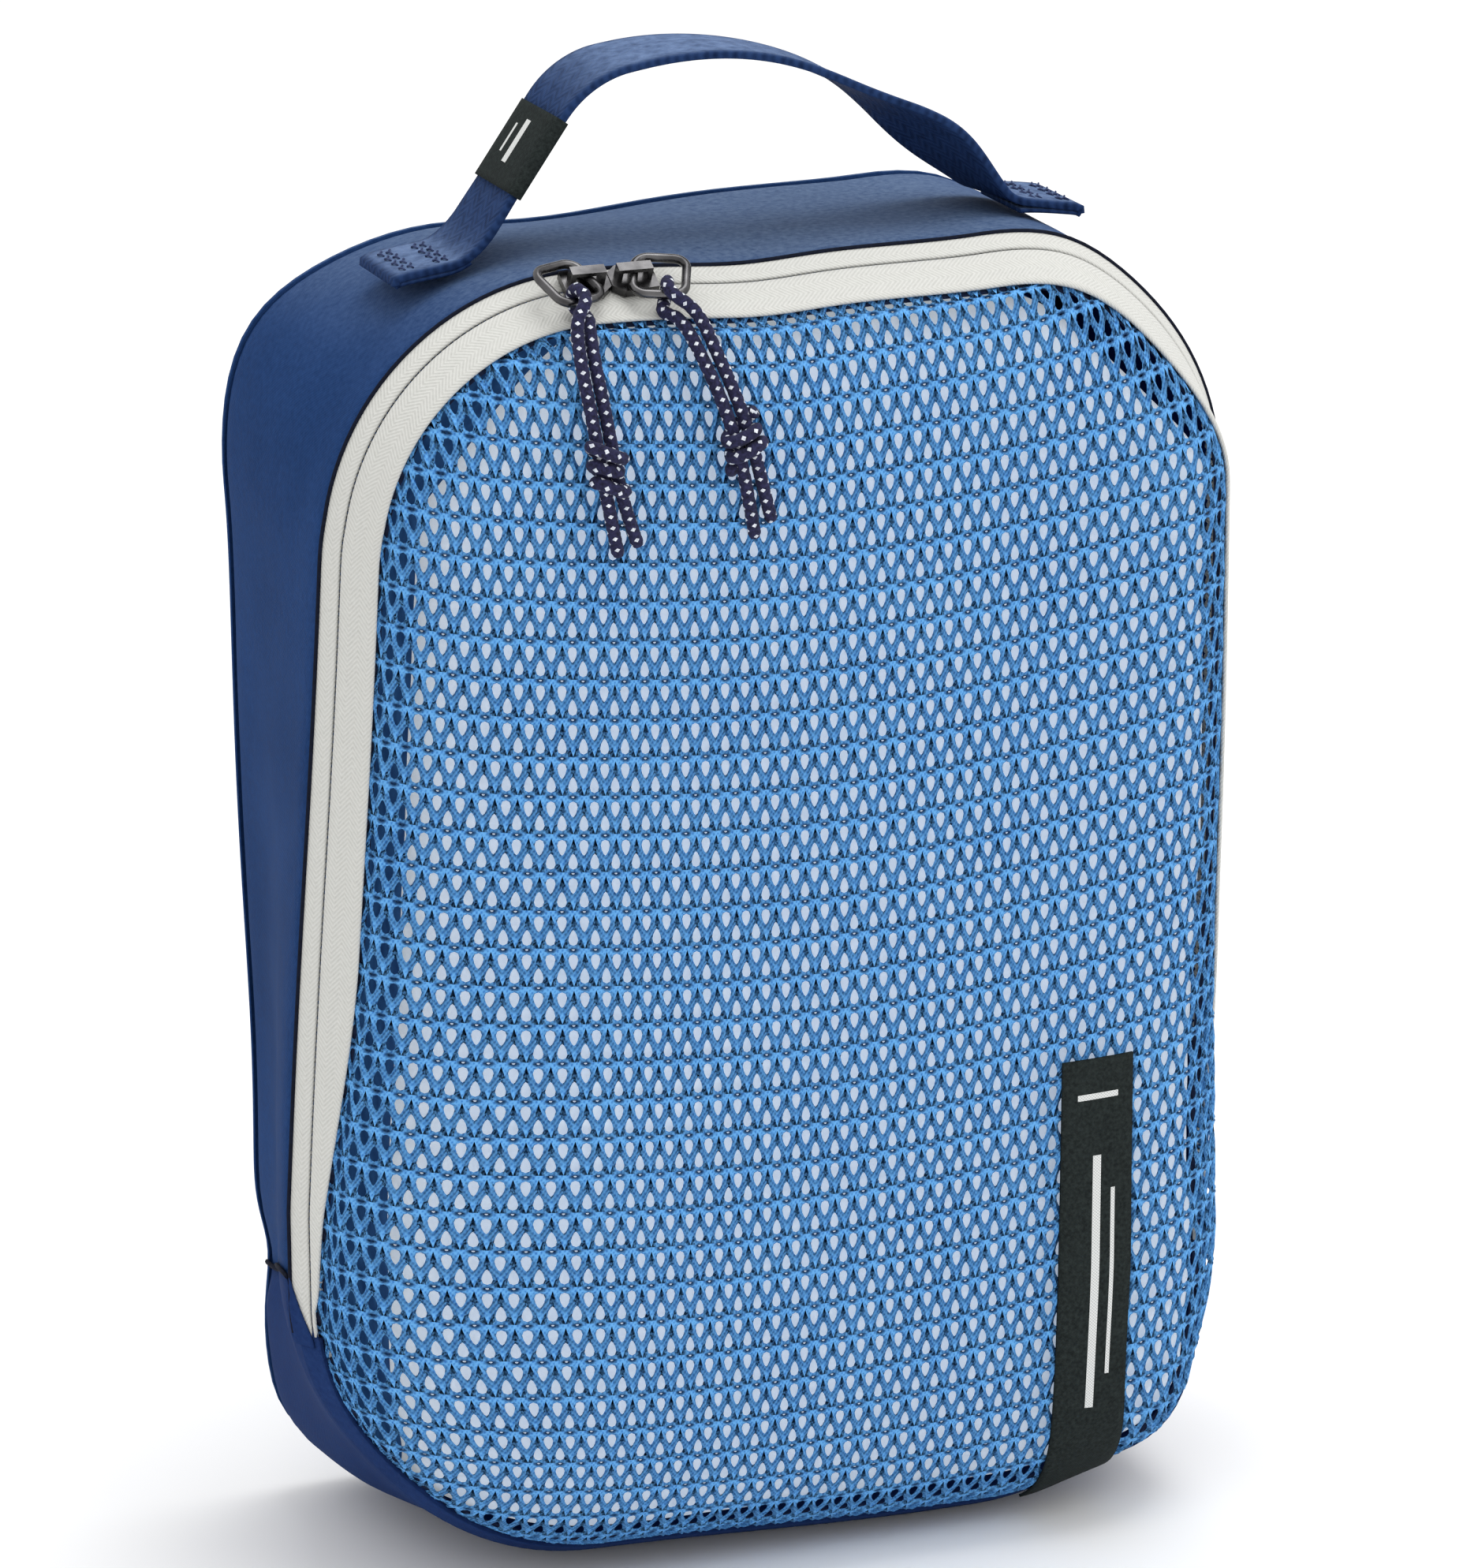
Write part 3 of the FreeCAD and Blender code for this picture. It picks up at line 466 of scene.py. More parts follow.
def shaded_side(name):
    """The clothes' sides: painted shade, a dark navy where the cube's inside lies in shadow, with a faint
    painted glow so it reads as dim navy rather than black.
    """
    nodes = Nodes(name)
    colour = nodes.ramp(nodes.noise(300, 2), [(0.3, (0.012, 0.045, 0.14)), (0.7, (0.025, 0.085, 0.22))])
    # painted shade with a painted glow: the dark navy also emits a little light
    nodes.put(nodes.shader.inputs["Emission Color"], colour)
    rough = nodes.scaled(nodes.noise(300, 2), 0.9)
    return nodes.finish(colour, rough, nodes.bump(nodes.noise(90, 2), 0.2), Emission_Strength=0.45)


def floor_paint(name):
    """Matt white paint."""
    nodes = Nodes(name)
    grain = nodes.noise(3, 2)
    colour = nodes.ramp(grain, [(0.3, (0.93, 0.93, 0.93)), (0.7, (0.95, 0.95, 0.95))])
    return nodes.finish(colour, nodes.scaled(grain, 0.9), nodes.bump(grain, 0.05, 0.1),
                        Specular_IOR_Level=0.1)


# ---------------------------------------------------------------- shape helpers
def smooth(start, end, value):
    """0 before start and 1 after end, in either direction, with soft ends."""
    share = np.clip((value - start) / (end - start), 0, 1)
    return share * share * (3 - 2 * share)


def bell(value, middle, reach):
    """1 at the middle, falling away softly on both sides."""
    return np.exp(-((value - middle) / reach) ** 2)


def ripple(points, size, seed):
    """Smooth noise from -1 to 1 at each point, with lumps of the given size."""
    shift = Vector((seed * 13.7, seed * 5.1, seed * 9.3))
    return np.array([noise.noise(Vector(point) / size + shift) for point in points])


def soften(points):
    """The cube's own slump: stuffed cloth leans, flares and dips a few millimetres off its straight lines."""
    points = np.array(points, float)
    x, y, z = points.T
    left = smooth(-STRAIGHT, -HALF + 4, x)
    right = smooth(STRAIGHT, HALF - 4, x)
    front = smooth(BACK - 8, FRONT, y)
    behind = 1 - front
    moved = points.copy()
    # the left wall flares out in front and draws in behind; the right wall dips in
    rise = np.clip((212 - z) / 132, 0, 1)
    low = smooth(18, 62, z)
    flare = FLARE * (rise - 0.15 * np.sin(2 * math.pi * rise) / (2 * math.pi)) * low
    pull = BACK_PULL * bell(z, 85, 45)
    moved[:, 0] += -flare * left * front + pull * left * behind
    moved[:, 0] -= RIGHT_DIP * bell(z, 95, 50) * right
    # the net bulges over the tape at the right
    ahead = smooth(FRONT - 2, FRONT - 12, y)
    moved[:, 0] += RIGHT_BULGE * right * ahead * smooth(236, 208, z) * smooth(24, 60, z)
    # the base's corners stand out and down, the left one only behind
    corner_low = bell(z, 16, 20)
    square = corner_low * bell(x, -HALF + 12, 16) * behind
    moved[:, 0] -= LOW_LEFT_OUT * square
    moved[:, 2] -= LOW_LEFT_DOWN * square
    square = corner_low * bell(x, HALF - 13, 16)
    moved[:, 0] += LOW_RIGHT_OUT * square
    moved[:, 2] -= LOW_RIGHT_DOWN * square * smooth(0, 14, z)
    # the top's left corner is fuller behind, and its right shoulder a little raised
    corner_high = bell(x, -HALF + 8, 20) * bell(z, TOP - 24, 22) * behind
    moved[:, 0] -= HIGH_LEFT_OUT * corner_high
    moved[:, 2] += HIGH_LEFT_UP * corner_high
    moved[:, 2] += HIGH_RIGHT_UP * bell(x, 57, 15) * bell(z, TOP - 4, 16)
    # the left wall is pinched in at its seam, behind
    moved[:, 0] += (PINCH_WIDE * bell(z, 42, 15) + PINCH_NARROW * bell(z, 50, 9)) * left * behind
    # the top dips behind and in front, and the front edge of the base lifts
    upper = smooth(190, 250, z)
    moved[:, 2] -= upper * behind * TOP_DIP * bell(x, -30, 26) * smooth(12, 34, y)
    moved[:, 2] -= upper * front * FRONT_DIP * bell(x, -8, 14) * smooth(-6, -24, y)
    lift = BASE_LIFT + BASE_LIFT_LEFT * smooth(30, -45, x)
    moved[:, 2] += smooth(44, 4, z) * lift * smooth(10, FRONT, y)
    return moved


def slant_seam(points):
    """The seam across each side wall climbs towards the front, to meet the slanting end of the tape."""
    x, y, z = points.T
    climb = COVER_HIGH - (COVER_HIGH + SEAM_BACK_DROP) * smooth(FRONT, BACK, y)
    wall = smooth(STRAIGHT, HALF - 8, np.abs(x)) * (y > FRONT - 0.01)
    moved = points.copy()
    moved[:, 2] += climb * wall * bell(z, SEAM_HEIGHT, 15)
    return moved


def outline_stations(start_height, upward, spacing):
    """Along the cube's rounded outline from the left side at start_height, over the top or under the base.

    Each row is x, z, the outward direction's x and z, and the distance along.
    """
    sign = 1 if upward else -1
    bend = TOP - CORNER if upward else CORNER
    side = abs(bend - start_height)
    quarter = math.pi / 2 * CORNER
    total = 2 * (side + quarter + STRAIGHT)
    count = int(round(total / spacing))
    rows = []
    for index in range(count + 1):
        distance = total * index / count
        near = min(distance, total - distance)
        mirror = 1 if distance <= total / 2 else -1
        if near < side:
            x, z, out_x, out_z = -HALF, start_height + sign * near, -1, 0
        elif near < side + quarter:
            angle = (near - side) / CORNER
            out_x, out_z = -math.cos(angle), sign * math.sin(angle)
            x, z = -STRAIGHT + CORNER * out_x, bend + CORNER * out_z
        else:
            x, z = -STRAIGHT + near - side - quarter, bend + sign * CORNER
            out_x, out_z = 0, sign
        rows.append((x * mirror, z, out_x * mirror, out_z, distance))
    return np.array(rows)


def seam_reach(height):
    """How far across the band the mesh is sewn: all the way at the top, less towards the base."""
    return BAND_WIDTH - 7.5 * smooth(132, 56, height)


def on_section(along, out):
    """Inset and depth of a point across the band: along it from the outer edge, and out of it."""
    return BAND_SINE * along - BAND_COSINE * out, FRONT - BAND_COSINE * along - BAND_SINE * out


def build(name, vertices, faces, material, uv=None, wrap=0.0):
    """A mesh object from millimetre vertices. uv has one (along, across) pair for each vertex.

    Where a face closes a ring, its start counts as wrap further round, so the pattern runs on.
    """
    mesh = bpy.data.meshes.new(name)
    mesh.from_pydata((np.asarray(vertices) * MM).tolist(), [], [list(map(int, face)) for face in faces])
    mesh.update()
    if uv is not None:
        layer = mesh.uv_layers.new(name="cloth")
        corners = np.zeros(len(mesh.loops), np.int32)
        mesh.loops.foreach_get("vertex_index", corners)
        spots = np.asarray(uv, np.float32)[corners]
        for polygon in mesh.polygons if wrap else []:
            ring = spots[polygon.loop_start:polygon.loop_start + polygon.loop_total]
            if polygon.loop_total == 4 and np.ptp(ring[:, 1]) > wrap / 2:
                ring[ring[:, 1] < wrap / 2, 1] += wrap
        layer.data.foreach_set("uv", spots.ravel())
    mesh.materials.append(material)
    mesh.polygons.foreach_set("use_smooth", np.full(len(mesh.polygons), True))
    item = bpy.data.objects.new(name, mesh)
    bpy.context.scene.collection.objects.link(item)
    return item


def grid_faces(rows, columns, closed, offset=0):
    """Quads between rows of vertices. closed joins the last column to the first."""
    faces = []
    span = columns if closed else columns - 1
    for row in range(rows - 1):
        for column in range(span):
            after = (column + 1) % columns
            one = offset + row * columns
            two = one + columns
            faces.append((one + column, one + after, two + after, two + column))
    return faces


def capped_faces(rows, columns):
    """The quads of a tube made of rings, and a cap at each end."""
    faces = grid_faces(rows, columns, True)
    faces.append(tuple(range(columns - 1, -1, -1)))
    faces.append(tuple((rows - 1) * columns + column for column in range(columns)))
    return faces


def rim_of(rows, columns):
    """The vertices round a sheet's edge, in order."""
    rim = list(range(columns)) + [row * columns + columns - 1 for row in range(1, rows)]
    rim += [(rows - 1) * columns + column for column in range(columns - 2, -1, -1)]
    return rim + [row * columns for row in range(rows - 2, 0, -1)]


def sheet_faces(rows, columns):
    """Two layers of a sheet, one after the other, and the faces that join them round the edge."""
    count = rows * columns
    faces = grid_faces(rows, columns, False)
    faces += [face[::-1] for face in grid_faces(rows, columns, False, count)]
    rim = rim_of(rows, columns)
    return faces + [(b, a, a + count, b + count) for a, b in zip(rim, rim[1:] + rim[:1])]


def distances_along(line):
    """How far along the line each of its points is."""
    steps = np.linalg.norm(np.diff(line, axis=0), axis=1)
    return np.concatenate([[0], np.cumsum(steps)])


def read_line(line, wanted):
    """The line's points at the wanted distances along it."""
    distances = distances_along(line)
    return np.stack([np.interp(wanted, distances, axis) for axis in line.T], axis=1)


def directions(line):
    """The line's direction at each point, as unit vectors."""
    tangents = np.gradient(line, axis=0)
    return tangents / np.linalg.norm(tangents, axis=1)[:, None]


def sweep(name, stations, section, material, body, nodes, slot, relax=0.0, seed=1):
    """A cloth strip with a closed section carried along outline stations.

    section(height) gives (inset, depth) points for a station at that height.
    """
    vertices = []
    uv = []
    for x, z, out_x, out_z, distance in stations:
        points = section(z)
        across = 0.0
        for index, (inset, depth) in enumerate(points):
            if index:
                across += math.dist(points[index - 1], points[index])
            vertices.append((x - out_x * inset, depth, z - out_z * inset))
            uv.append((distance, across))
    columns = len(section(stations[0][1]))
    faces = capped_faces(len(stations), columns)
    vertices = np.array(vertices)
    if relax:
        out = np.repeat(stations[:, 2:4], columns, axis=0)
        waves = relax * (ripple(vertices, 34, seed) + 0.5 * ripple(vertices, 15, seed + 4))
        hold = np.minimum(smooth(FRONT, FRONT + 9, vertices[:, 1]), smooth(BACK, BACK - 9, vertices[:, 1]))
        vertices[:, 0] += out[:, 0] * waves * hold
        vertices[:, 2] += out[:, 1] * waves * hold
    if slot in ("navy_ripstop", "navy_base"):
        vertices = slant_seam(vertices)
    item = build(name, soften(vertices), faces, material, uv)
    return place(item, body, nodes, slot)


def place(item, body, nodes, slot):
    """Put a piece on its body, and hide the CAD nodes it stands for. slot is not used."""
    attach(item, body)
    if nodes:
        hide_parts(*nodes)
    return item


def band_section(near, far, top, thickness, steps=6):
    """A tape's section in the band: rounded at both edges, with steps across it."""
    def section(height):
        end = far(height) if callable(far) else far
        places = [near + (end - near) * step / steps for step in range(steps + 1)]
        upper = [on_section(place_along, top) for place_along in places]
        lower = [on_section(place_along, top - thickness) for place_along in places[::-1]]
        nose = on_section(end + thickness * 0.3, top - thickness / 2)
        heel = on_section(near - thickness * 0.3, top - thickness / 2)
        return upper + [nose] + lower + [heel]
    return section


# ---------------------------------------------------------------- the cloth shell
def wall_section(front_edge, back_edge, thickness, steps=18):
    """The side wall: outer face from front to back, then its inner face back to the front."""
    def section(height):
        depths = [front_edge + (back_edge - front_edge) * step / steps for step in range(steps + 1)]
        tuck = [0.9 * math.exp(-(depth - front_edge) / 1.2) + 0.9 * math.exp(-(back_edge - depth) / 1.2)
                for depth in depths]
        outer = [(inset, depth) for inset, depth in zip(tuck, depths)]
        inner = [(inset + thickness, depth) for inset, depth in zip(tuck, depths)]
        return outer + inner[::-1]
    return section


def upper_gusset(cloth):
    """The wall round both sides and the top."""
    stations = outline_stations(SEAM_HEIGHT, True, 3.0)
    return sweep("gusset_upper_cloth", stations, wall_section(FRONT, BACK, CLOTH), cloth, "shell",
                 ["upper_gusset"], "navy_ripstop", 0.55, 2)


def bottom_gusset(cloth):
    """The base strip. Its front edge turns in towards the mesh."""
    wall = wall_section(FRONT, BACK, CLOTH)(0)
    half = len(wall) // 2

    def section(height):
        reach = seam_reach(height)
        turned = [on_section(reach * step / 5, 0) for step in range(5, 0, -1)]
        under = [on_section(reach * step / 5, -CLOTH) for step in range(1, 6)]
        return turned + wall[:half] + wall[half:] + under
    stations = outline_stations(SEAM_HEIGHT, False, 3.0)
    return sweep("gusset_base_cloth", stations, section, cloth, "shell", ["bottom_gusset"], "navy_base",
                 0.5, 7)


def height_range(x, inset):
    """Lowest and highest z of the inset rounded outline at x."""
    radius = CORNER - inset
    over = max(abs(x) - STRAIGHT, 0)
    drop = radius - math.sqrt(max(radius * radius - over * over, 0))
    return inset + drop, TOP - inset - drop


def back_panel(cloth):
    """The back sheet, a little pillowed, with its edge tucked into the seam."""
    columns = 57
    rows = 73
    vertices = []
    uv = []
    for sink in (0.0, CLOTH):
        for row in range(rows):
            for column in range(columns):
                x = -HALF * math.cos(math.pi * column / (columns - 1))
                low, high = height_range(x, 0)
                z = low + (high - low) * row / (rows - 1)
                edge = inset_at(np.array([x]), np.array([z]))[0]
                puff = 1.6 * (1 - math.exp(-max(edge, 0) / 16)) - 0.9 * math.exp(-max(edge, 0) / 1.5)
                vertices.append((x, BACK_FACE - sink + puff, z))
                uv.append((x + HALF, z))
    vertices = np.array(vertices)
    vertices[:, 1] += 0.7 * ripple(vertices, 40, 3) * smooth(0, 14, inset_at(vertices[:, 0], vertices[:, 2]))
    item = build("back_cloth", soften(vertices), sheet_faces(rows, columns), cloth, uv)
    return place(item, "shell", ["back_panel"], "navy_ripstop")


def inner_bindings(binding):
    """Bound seams inside: round the back, under the base's front edge and up both sides."""
    near = CLOTH + 0.2
    section = [(near, BACK - 0.2), (near + 2.2, BACK - 0.1), (near + 4, BACK - 0.3), (near + 4, BACK - 1.1),
               (near + 2.2, BACK - 1.3), (near, BACK - 1.2)]
    upper = outline_stations(TOP / 2, True, 4.0)
    lower = outline_stations(TOP / 2, False, 4.0)[-2:0:-1]
    loop = np.vstack([upper, lower])
    vertices = []
    uv = []
    for x, z, out_x, out_z, distance in loop:
        for index, (inset, depth) in enumerate(section):
            vertices.append((x - out_x * inset, depth, z - out_z * inset))
            uv.append((distance, index))
    columns = len(section)
    faces = grid_faces(len(loop), columns, True)
    last = (len(loop) - 1) * columns
    faces += [(last + c, last + (c + 1) % columns, (c + 1) % columns, c) for c in range(columns)]
    item = build("back_seam_tape", soften(vertices), faces, binding, uv)
    place(item, "shell", ["back_seam_binding"], "binding_tape")

    def under_mesh(height):
        reach = seam_reach(height)
        return band_section(reach - 3, reach, -CLOTH - 0.05, 1.0, 2)(height)
    sweep("lower_seam_tape", outline_stations(SEAM_HEIGHT, False, 4.0), under_mesh, binding, "shell",
          ["lower_seam_binding"], "binding_tape")
    for side, node in ((-1, "left_gusset_seam"), (1, "right_gusset_seam")):
        side_seam(node, side, binding)


def side_seam(node, side, binding):
    """A bound seam across the side wall, where the upper and base cloths meet."""
    rows = 18
    section = [(0.3, -2), (0.1, 0), (0.3, 2), (1.2, 1.8), (1.4, 0), (1.2, -1.8)]
    vertices = []
    uv = []
    for row in range(rows):
        depth = FRONT + 2 + (BACK - FRONT - 4) * row / (rows - 1)
        for index, (inset, rise) in enumerate(section):
            vertices.append((side * (HALF - CLOTH - inset), depth, SEAM_HEIGHT + rise))
            uv.append((depth, index))
    item = build(node + "_tape", soften(vertices), capped_faces(rows, len(section)), binding, uv)
    place(item, "shell", [node], "binding_tape")


def tape_end_covers(cloth):
    """The base cloth's slanting corner, sewn over the lower end of the outer tape on each side."""
    rows = 9
    columns = 6
    for side, name in ((-1, "left"), (1, "right")):
        vertices = []
        for lift in (0.5, 0.15):
            for z in np.linspace(SEAM_HEIGHT - 2, SEAM_HEIGHT + COVER_HIGH, rows):
                width = COVER_WIDE * max(0.05, 1 - max(z - SEAM_HEIGHT, 0) / COVER_HIGH)
                for along in np.linspace(-0.4, width, columns):
                    inset, depth = on_section(along, lift if along > 0 else 0.1)
                    vertices.append((side * (HALF - inset), depth, z))
        uv = [(x, z) for x, _, z in vertices]
        faces = sheet_faces(rows, columns)
        if side > 0:
            faces = [face[::-1] for face in faces]
        place(build(name + "_tape_end_cover", soften(vertices), faces, cloth, uv), "shell", [], "navy_base")


def outside_seams(dark_line_cloth):
    """The fold lines outside: cloth meeting cloth across each side, and a dark cord along the band's edge
    that is painted shade for the shadow gap between the cloth and the tape.
    """
    for side, name in ((-1, "left"), (1, "right")):
        rows = 22
        vertices = []
        for row in range(rows):
            depth = FRONT + 0.5 + (BACK - FRONT - 1) * row / (rows - 1)
            for turn in range(6):
                angle = 2 * math.pi * turn / 6
                vertices.append((side * (HALF + 0.4 + 0.4 * math.cos(angle)), depth,
                                 SEAM_HEIGHT + 0.5 * math.sin(angle)))
        slanted = soften(slant_seam(np.array(vertices)))
        item = build(name + "_side_fold", slanted, capped_faces(rows, 6), dark_line_cloth)
        place(item, "shell", [], "navy_thread")

    # painted shade: a thin dark cord laid where the shadow gap between the navy cloth and the tape lies
    def cord_section(height):
        points = []
        for turn in range(6):
            angle = -2 * math.pi * turn / 6
            points.append(on_section(0.15 + 0.42 * math.cos(angle), 0.05 + 0.42 * math.sin(angle)))
        return points
    stations = outline_stations(SEAM_HEIGHT, True, 3.0)
    sweep("band_edge_shadow_line", stations, cord_section, dark_line_cloth, "shell", [], "navy_thread")


# ---------------------------------------------------------------- the zipper
def zipper_tapes(tape):
    """The two pale tapes. The inner one narrows towards its lower ends."""
    stations = outline_stations(SEAM_HEIGHT + 0.3, True, 2.5)
    sweep("zipper_tape_outer", stations, band_section(TAPE_START, OUTER_TAPE_END, 0.0, TAPE), tape, "shell",
          ["outer_zipper_tape"], "zipper_tape")

    def far(height):
        return max(seam_reach(height) - 1.5 * smooth(66, 57, height), INNER_TAPE_START + 0.4)
    sweep("zipper_tape_inner", stations, band_section(INNER_TAPE_START, far, 0.0, TAPE, 8), tape, "flap",
          ["inner_zipper_tape"], "zipper_tape")


def mesh_binding(binding):
    """The bound seam under the inner tape, where the net is sewn to it."""
    def section(height):
        reach = seam_reach(height)
        return band_section(reach - 2.4, reach - 0.4, -TAPE - 0.9, 0.8, 2)(height)
    sweep("flap_seam_tape", outline_stations(SEAM_HEIGHT + 0.3, True, 4.0), section, binding, "flap",
          ["flap_seam_binding"], "binding_tape")


def coil(name, middle, reach, phase, plastic, body, node):
    """One row of zipper coil: a flattened helix that follows the band."""
    pitch = 1.5
    stations = outline_stations(SEAM_HEIGHT + COIL_START, True, pitch / 8)
    wire = 0.27
    path = []
    for x, z, out_x, out_z, distance in stations:
        angle = 2 * math.pi * (distance / pitch + phase)
        inset, depth = on_section(middle + reach * math.cos(angle), -1.25 + 0.42 * math.sin(angle))
        path.append((x - out_x * inset, depth, z - out_z * inset))
    path = soften(path)
    vertices, faces, uv = tube(path, lambda distance, turn: wire, 5)
    item = build(name, vertices, faces, plastic, uv)
    place(item, body, [node], "zipper_coil")


def zipper_stop(side, name, plastic):
    """A moulded block across both coils at the zipper's lower end."""
    vertices = []
    sections = [(0.0, 0.75), (0.5, 1.0), (3.5, 1.0), (4.0, 0.75)]
    outline = [(3.1, -1.3), (3.5, -1.25), (6.5, -1.25), (6.9, -1.3), (6.9, -2.2), (6.5, -2.25), (3.5, -2.25),
               (3.1, -2.2)]
    for drop, share in sections:
        for along, out in outline:
            inset, depth = on_section(5 + (along - 5) * share, -1.75 + (out + 1.75) * share)
            vertices.append((side * (HALF - inset), depth, SEAM_HEIGHT - 0.3 - drop))
    faces = capped_faces(len(sections), len(outline))
    item = build(name + "_stop_block", soften(vertices), faces, plastic)
    place(item, "shell", [name + "_zipper_stop"], "zipper_coil")


# ---------------------------------------------------------------- the mesh front
def inset_at(x, z):
    """Distance inside the cube's rounded outline."""
    over_x = np.abs(x) - STRAIGHT
    over_z = np.abs(z - TOP / 2) - (TOP / 2 - CORNER)
    outside = np.hypot(np.maximum(over_x, 0), np.maximum(over_z, 0))
    inside = np.minimum(np.maximum(over_x, over_z), 0)
    return CORNER - outside - inside


def mesh_depth(x, z):
    """How far forward the stuffed mesh stands at each place, before its slump."""
    reach = seam_reach(z)
    rim_inset, rim_depth = on_section(reach, 0)
    inset = inset_at(x, z)
    inward = np.maximum(inset - rim_inset, 0)
    swell = 1 - np.exp(-inward / BULGE_REACH)
    dome = np.clip((1 - (x / DOME_WIDE) ** 2) * (1 - ((z - DOME_MIDDLE) / DOME_HIGH) ** 2), 0, 1) ** 1.5
    outward = np.maximum(rim_inset - inset, 0)
    return rim_depth + (CROWN - rim_depth) * swell - DOME * dome + outward * BAND_COSINE / BAND_SINE


def on_mesh(x, z, lift):
    """Points on the mesh's surface, lifted off it along its own direction, and slumped with it."""
    step = 0.5
    depth = mesh_depth(x, z)
    slope_x = (mesh_depth(x + step, z) - mesh_depth(x - step, z)) / (2 * step)
    slope_z = (mesh_depth(x, z + step) - mesh_depth(x, z - step)) / (2 * step)
    size = np.sqrt(slope_x ** 2 + 1 + slope_z ** 2)
    points = np.stack([x + lift * slope_x / size, depth - lift / size, z + lift * slope_z / size], axis=1)
    return soften(points)


def spread(low, high, depth_along):
    """Even steps of cloth turned into places across the front: distance along the surface, and the place."""
    places = np.linspace(low, high, 400)
    steps = np.hypot(np.diff(places), np.diff(depth_along(places)))
    return np.concatenate([[0], np.cumsum(steps)]), places


def teardrop(width, height):
    """The points of a teardrop, wide above, from its top round to the right."""
    points = []
    for index in range(RING_POINTS):
        angle = 2 * math.pi * index / RING_POINTS
        points.append((width * math.sin(angle) * (1 + 0.42 * math.cos(angle)), -height * math.cos(angle)))
    return np.array(points)


def net_cell():
    """The three holes of one repeat and the yarn lines round them: (hole points, line points), ten each."""
    half = PITCH / 2
    tall = HOLE_FOOT - HOLE_TOP
    slope = [(half * (1 - share), HOLE_TOP + tall * share) for share in (1 / 3, 2 / 3)]
    down = [(0, HOLE_TOP), (half / 2, HOLE_TOP), (half, HOLE_TOP), slope[0], slope[1], (0, HOLE_FOOT),
            (-slope[1][0], slope[1][1]), (-slope[0][0], slope[0][1]), (-half, HOLE_TOP),
            (-half / 2, HOLE_TOP)]
    down = np.array(down)
    drop = teardrop(HOLE_WIDE, HOLE_HIGH)
    middle = HOLE_TOP + HOLE_FOOT
    up = down.copy()
    up[:, 1] = middle - up[:, 1]
    flipped = drop.copy()
    flipped[:, 1] = -flipped[:, 1]
    foot = HOLE_TOP + ROW
    dot = [(0, HOLE_FOOT), (half / 2, HOLE_FOOT), (half, HOLE_FOOT), (half, foot), (half / 2, foot),
           (0, foot), (-half / 2, foot), (-half, foot), (-half, HOLE_FOOT), (-half / 2, HOLE_FOOT)]
    eye = teardrop(0.26, 0.15)
    shift = np.array([half, 0])
    return [(drop + (0, HOLE_HIGH), down), (flipped + (0, middle - HOLE_HIGH) + shift, up + shift),
            (eye + (0, EYE_DOWN) + shift, np.array(dot) + shift)]


def net_sheet():
    """Every cell of the net laid flat: vertices as (along, down, lift), and their quads."""
    cells = net_cell()
    across_table = spread(-HALF, HALF, lambda x: mesh_depth(x, np.full_like(x, TOP / 2)))
    down_table = spread(0, TOP, lambda z: mesh_depth(np.zeros_like(z), z))
    width = across_table[0][-1]
    length = down_table[0][-1]
    vertices = []
    faces = []
    for row in range(-2, int(length / ROW) + 2):
        shift = PITCH / 2 if row % 2 else 0.0
        for column in range(-1, int(width / PITCH) + 2):
            for hole, line in cells:
                base = len(vertices)
                start = np.array([column * PITCH + shift, row * ROW])
                for lift, ring in ((0.0, hole), (YARN_RISE, line), (-YARN_RISE, line)):
                    for point in ring + start:
                        vertices.append((point[0], point[1], lift))
                over = base + RING_POINTS
                under = over + RING_POINTS
                for index in range(RING_POINTS):
                    after = (index + 1) % RING_POINTS
                    faces.append((base + index, base + after, over + after, over + index))
                    faces.append((base + after, base + index, under + index, under + after))
    return np.array(vertices), np.array(faces), across_table, down_table


def mesh_net(yarn):
    """The warp-knit front: one sheet of real holes and strands."""
    flat, faces, across_table, down_table = net_sheet()
    x = np.interp(flat[:, 0], *across_table)
    fall = flat[:, 1] + 3.5 - SAG * x ** 2
    z = TOP - np.interp(fall, *down_table)
    beyond = (flat[:, 0] < 0) | (flat[:, 0] > across_table[0][-1])
    beyond |= (fall < 0) | (fall > down_table[0][-1])
    rim_inset, _ = on_section(seam_reach(z), 0)
    inset = inset_at(x, z)
    edge = rim_inset - 0.9
    outside = (inset < edge) | beyond
    keep = ~outside[faces].all(axis=1)
    x, z = pull_inside(x, z, edge)
    inset = np.maximum(inset_at(x, z), edge)
    tucked = -1.15 * smooth(rim_inset + 2.4, rim_inset + 0.1, inset)
    wander = 0.10 * np.sin(flat[:, 0] * 1.7 + flat[:, 1] * 0.9) * np.sign(flat[:, 2])
    lift = np.where(inset <= edge + 0.02, 0, flat[:, 2] + wander * 0.5) + tucked
    points = on_mesh(x, z, lift)
    points[:, 1] += NET_WAVE * net_waves(x, z)
    used, back = np.unique(np.round(points, 3), axis=0, return_inverse=True)
    back = back.reshape(-1)
    first = np.zeros(len(used), int)
    first[back] = np.arange(len(points))
    joined = back[faces[keep]]
    whole = []
    for face in joined:
        ring = [corner for index, corner in enumerate(face) if corner != face[index - 1]]
        if len(set(ring)) == len(ring) and len(ring) > 2:
            whole.append(ring)
    item = build("mesh_net", used, whole, yarn, flat[first][:, :2])
    bend_at_hinge(item)
    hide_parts("mesh_panel_upper", "mesh_panel_lower")
    return item


def net_waves(x, z):
    """Low waves where the clothes behind push the mesh out or leave it slack."""
    waves = 0.6 * np.sin(x / 19 + z / 41) + 0.5 * np.sin(z / 23 - x / 37 + 1.3)
    return waves * smooth(8, 30, inset_at(x, z))


